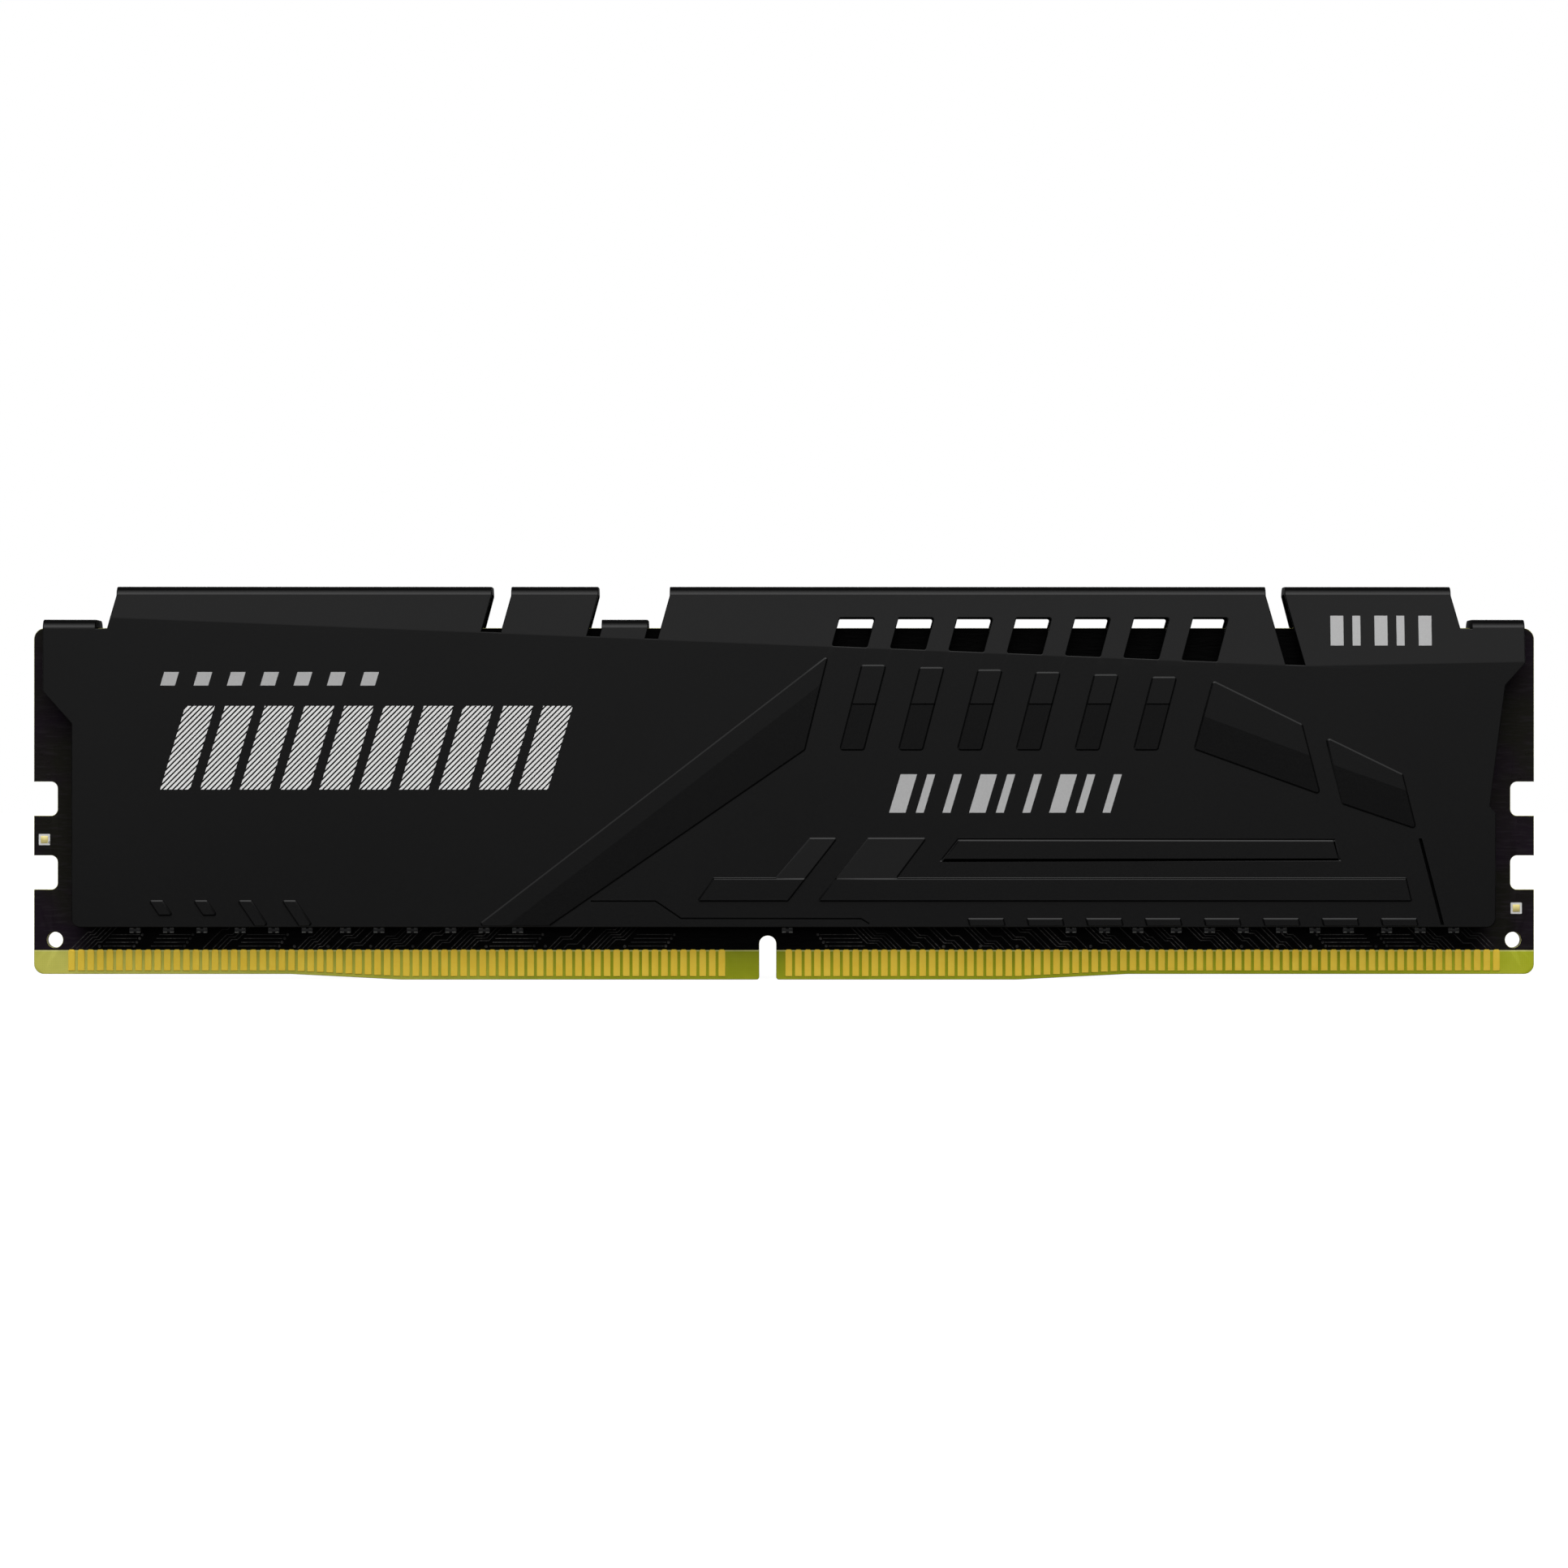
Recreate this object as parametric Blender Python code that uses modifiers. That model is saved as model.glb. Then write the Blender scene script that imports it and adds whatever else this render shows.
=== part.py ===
"""A desktop memory module: a circuit board with its chips, clamped in a two-part stamped heat spreader.

Frame: +X runs along the module, +Z runs from the contact edge to the top of the spreader, and the side
with the chips faces -Y. The origin lies on the board's middle plane, halfway along it, level with the
lowest part of the contact edge. Heights are Z, depths are distances from the board's middle plane.
"""

import math

import bmesh
import bpy
from mathutils import Matrix, Vector

MM = 0.001

# Circuit board, laminate and solder mask together
BOARD_LENGTH = 133.35 * MM
BOARD_HEIGHT = 31.25 * MM
BOARD_THICKNESS = 1.19 * MM
BOARD_TOP_RADIUS = 1.0 * MM
BOARD_BOTTOM_RADIUS = 0.9 * MM

# Contact edge: lowest in the middle, raised at both ends so that the middle contacts go in last
EDGE_RISE = 0.5 * MM
EDGE_LOW_LEFT = -33.99 * MM
EDGE_LOW_RIGHT = 20.64 * MM
EDGE_RISE_RUN = 9.9 * MM

# Key notch, which stops the wrong module going into a socket
KEY_CENTRE = -1.45 * MM
KEY_WIDTH = 1.5 * MM
KEY_DEPTH = 3.9 * MM
KEY_MOUTH_RADIUS = 0.25 * MM

# Latch notches, two in each end of the board
LATCH_DEPTH = 2.1 * MM
LATCH_HEIGHT = 3.03 * MM
LATCH_FLOORS = (8.01 * MM, 14.57 * MM)
LATCH_RADIUS = 0.6 * MM

# Tooling holes at the lower corners
TOOLING_HOLE_DIAMETER = 1.4 * MM
TOOLING_HOLE_INSET = 1.87 * MM
TOOLING_HOLE_HEIGHT = 3.54 * MM

# Contact pads
CONTACT_PITCH = 0.85 * MM
CONTACT_WIDTH = 0.6 * MM
CONTACT_THICKNESS = 0.03 * MM
CONTACT_EDGE_MARGIN = 0.3 * MM
CONTACT_TOP = 2.6 * MM
CONTACT_BUS_HEIGHT = 0.15 * MM
CONTACT_END_MARGIN = 3.3 * MM
FIRST_CONTACT_LEFT = -5.525 * MM
FIRST_CONTACT_RIGHT = 0.425 * MM

# Camera targets, one on each end of the chip side
TARGET_SIZE = 1.0 * MM
TARGET_THICKNESS = 0.03 * MM
TARGET_LEFT = (0.93 * MM, 12.45 * MM)  # distance from the board's end, height
TARGET_RIGHT = (1.58 * MM, 6.35 * MM)

# Solid pieces that touch are held this far apart
CONTACT_GAP = 0.01 * MM
SEAT_GAP = 0.02 * MM

# Memory chips
CHIPS_PER_SIDE = 4
CHIP_WIDTH = 10.0 * MM
CHIP_HEIGHT = 11.0 * MM
CHIP_THICKNESS = 0.8 * MM
CHIP_CENTRE_HEIGHT = 15.0 * MM
CHIP_END_MARGIN = 5.0 * MM
CHIP_EDGE_CHAMFER = 0.08 * MM
SOLDER_BALL_HEIGHT = 0.3 * MM
POWER_BAY_HALF_WIDTH = 10.5 * MM

# Power supply and hub in the bay between the two rows of chips; drops are below the board's top edge
POWER_CHIP_SIZE = 5.0 * MM
POWER_CHIP_THICKNESS = 0.85 * MM
POWER_CHIP_DROP = 10.75 * MM
HUB_CHIP_WIDTH = 3.0 * MM
HUB_CHIP_HEIGHT = 2.0 * MM
HUB_CHIP_THICKNESS = 0.75 * MM
HUB_CHIP_X = 5.5 * MM
HUB_CHIP_DROP = 20.75 * MM
INDUCTOR_SIZE = 4.0 * MM
INDUCTOR_THICKNESS = 1.2 * MM
INDUCTOR_CHAMFER = 0.3 * MM
INDUCTOR_DROP = 5.25 * MM
INDUCTOR_PITCH = 6.2 * MM
INDUCTOR_COUNT = 3
CAPACITOR_WIDTH = 1.25 * MM
CAPACITOR_LENGTH = 2.0 * MM
CAPACITOR_THICKNESS = 1.25 * MM
CAPACITOR_DROP = 16.25 * MM
CAPACITOR_PITCH = 2.9 * MM
CAPACITOR_COUNT = 6

# Small resistors in a row above the contacts: three to each group of data contacts
RESISTOR_LENGTH = 1.0 * MM
RESISTOR_WIDTH = 0.5 * MM
RESISTOR_THICKNESS = 0.35 * MM
RESISTOR_HEIGHT = 4.4 * MM
RESISTOR_PITCH_CONTACTS = 3.5
LANE_PITCH_CONTACTS = 11
LANES_PER_SIDE = 4
RESISTORS_PER_LANE = 3
LANE_START_LEFT = -57.66 * MM
LANE_START_RIGHT = 25.5 * MM
LONE_RESISTOR = 0.3 * MM

# Thermal pads
PAD_THICKNESS = 0.625 * MM
PAD_OVERLAP = 0.5 * MM
POWER_PAD_OVERLAP = 1.0 * MM

# Heat spreader sheet
SHEET_THICKNESS = 0.7 * MM
INNER_BEND_RADIUS = 0.12 * MM
BEND_STEPS = 3
SEAM_GAP = 0.1 * MM
SPREADER_BOTTOM = 4.68 * MM
SPREADER_TOP_RISE = 3.65 * MM  # top of the walls above the board's top edge
BAND_SLOPE = 0.16  # inward lean of the upper band, depth over height
BAND_APEX_X = 45.96 * MM
BAND_APEX_DROP = 3.4 * MM  # lowest point of the crease, below the board's top edge
BAND_RISE_LEFT = 0.0407  # climb of the crease on each side of that point
BAND_RISE_RIGHT = 0.0194
SILL = 0.06 * MM  # cuts and windows stop this far above the crease
CUT_LEAN = 0.275
SIDE_SLACK = 0.01 * MM
END_MARGIN = 1.065 * MM
END_GAP = 1.03 * MM

# Wide ends of the spreader, where the outline steps in below the tabs. Insets are from the board's ends
# and drops are below its top edge
LEFT_WAIST_INSET = 3.62 * MM
LEFT_WAIST_DROP = 8.51 * MM
LEFT_SHOULDER_DROP = 5.6 * MM
RIGHT_WAIST_INSET = 3.69 * MM
RIGHT_WAIST_TOP = 14.88 * MM
RIGHT_NECK_INSET = 4.22 * MM
RIGHT_NECK_HEIGHT = 15.45 * MM
RIGHT_SHOULDER_INSET = 2.81 * MM
RIGHT_SHOULDER_DROPS = (5.13 * MM, 3.2 * MM)
SPREADER_CORNER_RADIUS = 0.83 * MM

# Tabs over the board's top edge, and the cuts between the walls, given where their sides meet the crease
END_TAB_LENGTH = 4.66 * MM
FIRST_CUT = (-26.79 * MM, -25.08 * MM)
MIDDLE_TAB = (-16.35 * MM, -12.29 * MM)
MIDDLE_TAB_GAP = 1.1 * MM
SECOND_CUT_INSETS = (22.275 * MM, 20.575 * MM)

# Windows in the upper band, as many as fit before the second cut
WINDOW_PITCH = 5.22 * MM
WINDOW_WIDTH = 3.12 * MM
WINDOW_FIRST = 4.94 * MM  # upper left corner of the first window
WINDOW_TOP_RISE = 0.86 * MM  # above the board's top edge
WINDOW_RADIUS = 0.2 * MM
WINDOW_END_ROOM = 2.0 * MM  # least sheet between the last window and the cut

# Raised pattern on the faces of the spreader
RELIEF = 0.25 * MM
RELIEF_LOW = 0.05 * MM  # height of a facet's low border above the face
RELIEF_ROOT = 0.2 * MM  # how deep a raised panel reaches into the sheet
PANEL_MARGIN = 0.06 * MM  # panels keep this clear of the sheet's lower edge

# Broad ridge that climbs from the lower edge to a point under the band: x, and drop at its upper end
RIDGE_FEET = (-27.16 * MM, -20.86 * MM)
RIDGE_HEADS = ((3.86 * MM, 2.55 * MM), (1.82 * MM, 10.83 * MM))
RIDGE_CREASE_FOOT = -24.56 * MM
RIDGE_CREASE_HEAD = (3.12 * MM, 5.14 * MM)

# Slanted bars between the ridge and the tiles, as many as fit
BAR_PITCH = 5.2 * MM
BAR_WIDTH = 2.1 * MM
BAR_FIRST = 4.95 * MM
BAR_FLOOR_DROP = 10.83 * MM
BAR_CREASE_DROP = 6.79 * MM
BAR_TOP_GAP = 1.55 * MM
BAR_LEAN = 0.261

# Two slanted tiles on the right: inset from the board's end and drop of each corner and crease end
TILE_CORNERS = (
    ((28.7 * MM, 4.76 * MM), (20.85 * MM, 8.62 * MM), (19.25 * MM, 14.76 * MM), (30.36 * MM, 10.75 * MM)),
    ((18.72 * MM, 9.74 * MM), (11.97 * MM, 13.02 * MM), (10.77 * MM, 17.81 * MM), (17.25 * MM, 15.6 * MM)),
)
TILE_CREASES = (
    ((29.51 * MM, 7.87 * MM), (20.19 * MM, 11.34 * MM)),
    ((18.14 * MM, 12.14 * MM), (11.68 * MM, 14.43 * MM)),
)

# Two low rails whose inner ends climb
RAIL_FOOT = 7.05 * MM
RAIL_SHELF = 9.06 * MM
RAIL_HEAD = 12.58 * MM
LEFT_RAIL_HEAD = (-0.72 * MM, 2.3 * MM, 4.67 * MM)  # the climbing end: shelf corner, then its top
LEFT_RAIL_FOOT = (-7.61 * MM, 0.33 * MM)
LEFT_RAIL_SHELF_END = -6.18 * MM
RIGHT_RAIL_HEAD = (7.45 * MM, 12.57 * MM, 9.92 * MM)  # the climbing end: its top, then shelf corner
RIGHT_RAIL_FOOT = 3.05 * MM
RIGHT_RAIL_END_INSETS = (11.655 * MM, 11.175 * MM)

# Dashes under the right rail, as many as fit, and four marks at the left end
DASH_WIDTH = 3.09 * MM
DASH_FIRST = 16.3 * MM
DASH_TOP = 5.47 * MM
MARK_WIDTH = 1.15 * MM
MARK_LEAN = -0.68
MARK_FOOT_HEIGHTS = (5.79 * MM, 5.79 * MM, 4.74 * MM, 4.74 * MM)
MARK_INSET = 10.525 * MM
MARK_PITCH = 3.92 * MM

# Blank label on the back
LABEL_LENGTH = 36.0 * MM
LABEL_HEIGHT = 12.0 * MM
LABEL_THICKNESS = 0.06 * MM
LABEL_PLACE = (-38.0 * MM, 18.5 * MM)

# Values that follow from those above
BOARD_HALF = BOARD_LENGTH / 2
BOARD_FACE = BOARD_THICKNESS / 2
CHIP_FACE = BOARD_FACE + SOLDER_BALL_HEIGHT + CHIP_THICKNESS
SHEET_INNER = CHIP_FACE + SEAT_GAP + PAD_THICKNESS + SEAT_GAP
SHEET_OUTER = SHEET_INNER + SHEET_THICKNESS
OUTER_BEND_RADIUS = INNER_BEND_RADIUS + SHEET_THICKNESS
BEND_LENGTH = OUTER_BEND_RADIUS * math.pi / 2
WALL_TOP = BOARD_HEIGHT + SPREADER_TOP_RISE
TAB_TOP = BOARD_HEIGHT + SEAT_GAP + SHEET_THICKNESS
TAB_ROOT = TAB_TOP - OUTER_BEND_RADIUS
BAND_APEX_HEIGHT = BOARD_HEIGHT - BAND_APEX_DROP
SPREADER_END = BOARD_HALF - END_MARGIN
CHIP_PITCH = (BOARD_HALF - CHIP_END_MARGIN - POWER_BAY_HALF_WIDTH) / CHIPS_PER_SIDE


def material(name, colour, roughness, metallic):
    made = bpy.data.materials.new(name)
    made.use_nodes = True
    shader = made.node_tree.nodes["Principled BSDF"]
    shader.inputs["Base Color"].default_value = (*colour, 1)
    shader.inputs["Roughness"].default_value = roughness
    shader.inputs["Metallic"].default_value = metallic
    made.diffuse_color = (*colour, 1)
    return made


def new_collection(name):
    made = bpy.data.collections.new(name)
    bpy.context.scene.collection.children.link(made)
    return made


def add_object(name, mesh, collection, look=None):
    made = bpy.data.objects.new(name, mesh)
    collection.objects.link(made)
    if look:
        mesh.materials.clear()
        mesh.materials.append(look)
    return made


def mesh_from(bm, name):
    mesh = bpy.data.meshes.new(name)
    bm.to_mesh(mesh)
    bm.free()
    return mesh


def rounded(corners, steps=4):
    """The outline through corners of (x, height, radius), each round one drawn as an arc."""
    points = []
    for i, (x, z, radius) in enumerate(corners):
        corner = Vector((x, z))
        if radius == 0:
            points.append(corner)
            continue
        back = (Vector(corners[i - 1][:2]) - corner).normalized()
        ahead = (Vector(corners[(i + 1) % len(corners)][:2]) - corner).normalized()
        half_angle = back.angle(ahead) / 2
        centre = corner + (back + ahead).normalized() * radius / math.sin(half_angle)
        start = corner + back * radius / math.tan(half_angle) - centre
        turn = math.pi - 2 * half_angle
        if back.cross(ahead) > 0:
            turn = -turn
        for step in range(steps + 1):
            points.append(centre + Matrix.Rotation(turn * step / steps, 2) @ start)
    return points


def sharp(points):
    return [Vector(point) for point in points]


def circle(x, z, radius, sides=20):
    turns = [math.tau * side / sides for side in range(sides)]
    return [Vector((x + radius * math.cos(turn), z + radius * math.sin(turn))) for turn in turns]


def filled_outline(name, outlines, half_thickness):
    """A mesh of the area inside the first outline and outside the others, in X and Y, thickened along Z."""
    curve = bpy.data.curves.new(name, "CURVE")
    curve.dimensions = "2D"
    curve.fill_mode = "BOTH"
    curve.extrude = half_thickness
    for outline in outlines:
        spline = curve.splines.new("POLY")
        spline.points.add(len(outline) - 1)
        for point, (x, y) in zip(spline.points, outline):
            point.co = (x, y, 0, 1)
        spline.use_cyclic_u = True
    drawn = bpy.data.objects.new(name, curve)
    bpy.context.scene.collection.objects.link(drawn)
    bpy.context.view_layer.update()
    mesh = bpy.data.meshes.new_from_object(drawn.evaluated_get(bpy.context.evaluated_depsgraph_get()))
    bpy.data.objects.remove(drawn)
    bpy.data.curves.remove(curve)
    bm = bmesh.new()
    bm.from_mesh(mesh)
    bpy.data.meshes.remove(mesh)
    bmesh.ops.remove_doubles(bm, verts=bm.verts, dist=1e-7)
    bmesh.ops.recalc_face_normals(bm, faces=bm.faces)
    return bm


def upright_plate(name, outlines, near, far):
    """A plate whose outlines are drawn in X and height, lying between two depths on the chip side."""
    bm = filled_outline(name, outlines, (far - near) / 2)
    upright = Matrix.Translation((0, -(near + far) / 2, 0)) @ Matrix.Rotation(math.pi / 2, 4, "X")
    bmesh.ops.transform(bm, matrix=upright, verts=bm.verts)
    return mesh_from(bm, name)


def block(name, x, z, width, height, near, far):
    """A box centred on x and z, lying between two depths on the chip side."""
    bm = bmesh.new()
    bmesh.ops.create_cube(bm, size=1)
    bmesh.ops.scale(bm, vec=(width, far - near, height), verts=bm.verts)
    bmesh.ops.translate(bm, vec=(x, -(near + far) / 2, z), verts=bm.verts)
    return mesh_from(bm, name)


def turned_to_back(mesh, name):
    """A mirrored copy of a mesh, on the other side of the board."""
    copy = mesh.copy()
    copy.name = name
    copy.transform(Matrix.Scale(-1, 4, (0, 1, 0)))
    copy.flip_normals()
    return copy


def chamfer(piece, width):
    bevel = piece.modifiers.new("edge_chamfer", "BEVEL")
    bevel.width = width
    bevel.segments = 1


# ---- Circuit board ----


def edge_height(x):
    """Height of the contact edge, without the key notch."""
    outside = max(EDGE_LOW_LEFT - x, x - EDGE_LOW_RIGHT, 0)
    return EDGE_RISE * min(outside / EDGE_RISE_RUN, 1)


def latch_corners(side):
    """The four corners of each latch notch in one end of the board, from the bottom up."""
    end = side * BOARD_HALF
    root = side * (BOARD_HALF - LATCH_DEPTH)
    corners = []
    for floor in LATCH_FLOORS:
        corners += [(end, floor, 0), (root, floor, LATCH_RADIUS)]
        corners += [(root, floor + LATCH_HEIGHT, LATCH_RADIUS), (end, floor + LATCH_HEIGHT, 0)]
    return corners


def board_outline():
    key_left = KEY_CENTRE - KEY_WIDTH / 2
    key_right = KEY_CENTRE + KEY_WIDTH / 2
    key_radius = KEY_WIDTH * 0.49
    corners = [(-BOARD_HALF, EDGE_RISE, BOARD_BOTTOM_RADIUS)]
    corners += latch_corners(-1)
    corners += [(-BOARD_HALF, BOARD_HEIGHT, BOARD_TOP_RADIUS), (BOARD_HALF, BOARD_HEIGHT, BOARD_TOP_RADIUS)]
    corners += reversed(latch_corners(1))
    corners += [(BOARD_HALF, EDGE_RISE, BOARD_BOTTOM_RADIUS)]
    corners += [(EDGE_LOW_RIGHT + EDGE_RISE_RUN, EDGE_RISE, 0), (EDGE_LOW_RIGHT, 0, 0)]
    corners += [(key_right, 0, KEY_MOUTH_RADIUS), (key_right, KEY_DEPTH, key_radius)]
    corners += [(key_left, KEY_DEPTH, key_radius), (key_left, 0, KEY_MOUTH_RADIUS)]
    corners += [(EDGE_LOW_LEFT, 0, 0), (EDGE_LOW_LEFT - EDGE_RISE_RUN, EDGE_RISE, 0)]
    return rounded(corners)


def make_circuit_board(collection, look):
    hole_x = BOARD_HALF - TOOLING_HOLE_INSET
    holes = [circle(side * hole_x, TOOLING_HOLE_HEIGHT, TOOLING_HOLE_DIAMETER / 2) for side in (-1, 1)]
    mesh = upright_plate("circuit_board", [board_outline(), *holes], -BOARD_FACE, BOARD_FACE)
    add_object("circuit_board", mesh, collection, look)


def contact_row(first, side):
    """Centres of the contacts on one side of the key notch, from the key outwards."""
    room = BOARD_HALF - CONTACT_END_MARGIN - side * first
    count = int(room / CONTACT_PITCH) + 1
    return [first + side * CONTACT_PITCH * i for i in range(count)]


def contact_comb(centres):
    """Outline of a row of contact pads and the thin strip that joins them above the bare edge."""
    half = CONTACT_WIDTH / 2
    centres = sorted(centres)
    outline = [(centres[-1] + half, CONTACT_TOP + CONTACT_BUS_HEIGHT)]
    outline += [(centres[0] - half, CONTACT_TOP + CONTACT_BUS_HEIGHT)]
    for x in centres:
        foot = edge_height(x) + CONTACT_EDGE_MARGIN
        if x != centres[0]:
            outline.append((x - half, CONTACT_TOP))
        outline += [(x - half, foot), (x + half, foot)]
        if x != centres[-1]:
            outline.append((x + half, CONTACT_TOP))
    return sharp(outline)


def make_contacts(collection, look):
    near = BOARD_FACE + CONTACT_GAP
    for side, first, place in ((-1, FIRST_CONTACT_LEFT, "left"), (1, FIRST_CONTACT_RIGHT, "right")):
        comb = contact_comb(contact_row(first, side))
        mesh = upright_plate("contacts", [comb], near, near + CONTACT_THICKNESS)
        add_object(f"contacts_front_{place}", mesh, collection, look)
        back = turned_to_back(mesh, "contacts_back")
        add_object(f"contacts_back_{place}", back, collection, look)


def make_camera_targets(collection, look):
    near = BOARD_FACE + CONTACT_GAP
    for side, (inset, height), place in ((-1, TARGET_LEFT, "left"), (1, TARGET_RIGHT, "right")):
        x = side * (BOARD_HALF - inset)
        mesh = block("target", x, height, TARGET_SIZE, TARGET_SIZE, near, near + TARGET_THICKNESS)
        add_object(f"camera_target_{place}", mesh, collection, look)


# ---- Components on the board ----


def chip_centres(side):
    return [side * (POWER_BAY_HALF_WIDTH + CHIP_PITCH * (i + 0.5)) for i in range(CHIPS_PER_SIDE)]


def make_memory_chips(collection, look):
    near = BOARD_FACE + SOLDER_BALL_HEIGHT
    centres = sorted(chip_centres(-1) + chip_centres(1))
    for number, x in enumerate(centres, 1):
        mesh = block("memory_chip", x, CHIP_CENTRE_HEIGHT, CHIP_WIDTH, CHIP_HEIGHT, near, CHIP_FACE)
        chip = add_object(f"memory_chip_{number}", mesh, collection, look)
        chamfer(chip, CHIP_EDGE_CHAMFER)


def make_power_parts(collection, chip_look, inductor_look, capacitor_look):
    near = BOARD_FACE + SEAT_GAP
    mesh = block(
        "power_chip",
        0,
        BOARD_HEIGHT - POWER_CHIP_DROP,
        POWER_CHIP_SIZE,
        POWER_CHIP_SIZE,
        near,
        near + POWER_CHIP_THICKNESS,
    )
    add_object("power_management_chip", mesh, collection, chip_look)
    height = BOARD_HEIGHT - HUB_CHIP_DROP
    far = near + HUB_CHIP_THICKNESS
    mesh = block("hub", HUB_CHIP_X, height, HUB_CHIP_WIDTH, HUB_CHIP_HEIGHT, near, far)
    add_object("hub_chip", mesh, collection, chip_look)
    height = BOARD_HEIGHT - INDUCTOR_DROP
    far = near + INDUCTOR_THICKNESS
    for i in range(INDUCTOR_COUNT):
        x = INDUCTOR_PITCH * (i - (INDUCTOR_COUNT - 1) / 2)
        mesh = block("inductor", x, height, INDUCTOR_SIZE, INDUCTOR_SIZE, near, far)
        inductor = add_object(f"power_inductor_{i + 1}", mesh, collection, inductor_look)
        chamfer(inductor, INDUCTOR_CHAMFER)
    height = BOARD_HEIGHT - CAPACITOR_DROP
    far = near + CAPACITOR_THICKNESS
    for i in range(CAPACITOR_COUNT):
        x = CAPACITOR_PITCH * (i - (CAPACITOR_COUNT - 1) / 2)
        mesh = block("capacitor", x, height, CAPACITOR_WIDTH, CAPACITOR_LENGTH, near, far)
        add_object(f"bulk_capacitor_{i + 1}", mesh, collection, capacitor_look)


def resistor_centres():
    centres = [LONE_RESISTOR]
    for start in (LANE_START_LEFT, LANE_START_RIGHT):
        for lane in range(LANES_PER_SIDE):
            for i in range(RESISTORS_PER_LANE):
                contacts = LANE_PITCH_CONTACTS * lane + RESISTOR_PITCH_CONTACTS * i
                centres.append(start + CONTACT_PITCH * contacts)
    return sorted(centres)


def make_resistors(collection, look):
    near = BOARD_FACE + SEAT_GAP
    far = near + RESISTOR_THICKNESS
    for number, x in enumerate(resistor_centres(), 1):
        mesh = block("resistor", x, RESISTOR_HEIGHT, RESISTOR_LENGTH, RESISTOR_WIDTH, near, far)
        add_object(f"edge_resistor_{number:02d}", mesh, collection, look)


def make_thermal_pads(collection, look):
    row_middle = (chip_centres(1)[0] + chip_centres(1)[-1]) / 2
    row_length = chip_centres(1)[-1] - chip_centres(1)[0] + CHIP_WIDTH + 2 * PAD_OVERLAP
    pad_height = CHIP_HEIGHT + 2 * PAD_OVERLAP
    far = SHEET_INNER - SEAT_GAP
    for side, place in ((-1, "left"), (1, "right")):
        x = side * row_middle
        near = CHIP_FACE + SEAT_GAP
        front = block("pad", x, CHIP_CENTRE_HEIGHT, row_length, pad_height, near, far)
        add_object(f"thermal_pad_front_{place}", front, collection, look)
        near = BOARD_FACE + SEAT_GAP
        thick = block("pad", x, CHIP_CENTRE_HEIGHT, row_length, pad_height, near, far)
        add_object(f"thermal_pad_back_{place}", turned_to_back(thick, "pad"), collection, look)
    side_length = POWER_CHIP_SIZE + 2 * POWER_PAD_OVERLAP
    near = BOARD_FACE + SEAT_GAP + POWER_CHIP_THICKNESS + SEAT_GAP
    height = BOARD_HEIGHT - POWER_CHIP_DROP
    small = block("pad", 0, height, side_length, side_length, near, far)
    add_object("thermal_pad_power", small, collection, look)


# ---- Heat spreader ----


def crease_height(x):
    """Height of the crease between the upright face and the upper band that leans inwards."""
    left = BAND_APEX_HEIGHT + BAND_RISE_LEFT * (BAND_APEX_X - x)
    right = BAND_APEX_HEIGHT + BAND_RISE_RIGHT * (x - BAND_APEX_X)
    return max(left, right)


def bend(x, top):
    """Where the sheet starts to bend over towards the seam: its height and its depth."""
    start = top - OUTER_BEND_RADIUS
    return start, SHEET_OUTER - BAND_SLOPE * max(start - crease_height(x), 0)


def flange_end(x, top):
    """Length up the flat sheet at which its edge, once bent over, meets the seam."""
    start, depth = bend(x, top)
    return start + BEND_LENGTH + depth - OUTER_BEND_RADIUS - SEAM_GAP / 2


def folded(x, length, inset, top):
    """Depth and height of a point of the flat sheet at x and length, lying inset below its outer face."""
    start, depth = bend(x, top)
    if length <= start:
        return SHEET_OUTER - BAND_SLOPE * max(length - crease_height(x), 0) - inset, length
    turn = min((length - start) / OUTER_BEND_RADIUS, math.pi / 2)
    along = max(length - start - BEND_LENGTH, 0)
    radius = OUTER_BEND_RADIUS - inset
    centre_depth = depth - OUTER_BEND_RADIUS
    return centre_depth + radius * math.cos(turn) - along, start + radius * math.sin(turn)


def upstands():
    """Tabs and walls along the top, left to right: (foot, lean, floor) of each side, and the top height."""

    def cut_side(foot, lean):
        return foot, lean, crease_height(foot) + SILL

    tab_foot = SPREADER_END - END_TAB_LENGTH
    wall_foot = tab_foot - END_GAP
    tab_left, tab_right = MIDDLE_TAB
    second_cut_left, second_cut_right = (BOARD_HALF - inset for inset in SECOND_CUT_INSETS)
    return (
        ((-SPREADER_END, 0, TAB_ROOT), (-tab_foot, 0, TAB_ROOT), TAB_TOP),
        ((-wall_foot, CUT_LEAN, TAB_ROOT), cut_side(FIRST_CUT[0], CUT_LEAN), WALL_TOP),
        (cut_side(FIRST_CUT[1], CUT_LEAN), cut_side(tab_left - MIDDLE_TAB_GAP, CUT_LEAN), WALL_TOP),
        (cut_side(tab_left, CUT_LEAN), cut_side(tab_right, CUT_LEAN), TAB_TOP),
        (cut_side(tab_right + MIDDLE_TAB_GAP, CUT_LEAN), cut_side(second_cut_left, -CUT_LEAN), WALL_TOP),
        (cut_side(second_cut_right, -CUT_LEAN), (wall_foot, -CUT_LEAN, TAB_ROOT), WALL_TOP),
        ((tab_foot, 0, TAB_ROOT), (SPREADER_END, 0, TAB_ROOT), TAB_TOP),
    )


def side_at(side, top, length):
    """Where one side of a tab or wall runs, at a length up the flat sheet."""
    foot, lean, floor = side
    return foot + lean * (min(length, top - OUTER_BEND_RADIUS) - floor)


def side_points(side, top):
    """The points up one side of a tab or wall on the flat sheet, from its foot to the flange's edge."""
    start = top - OUTER_BEND_RADIUS
    x = side_at(side, top, start)
    return [(side[0], side[2]), (x, start), (x, flange_end(x, top))]


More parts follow.
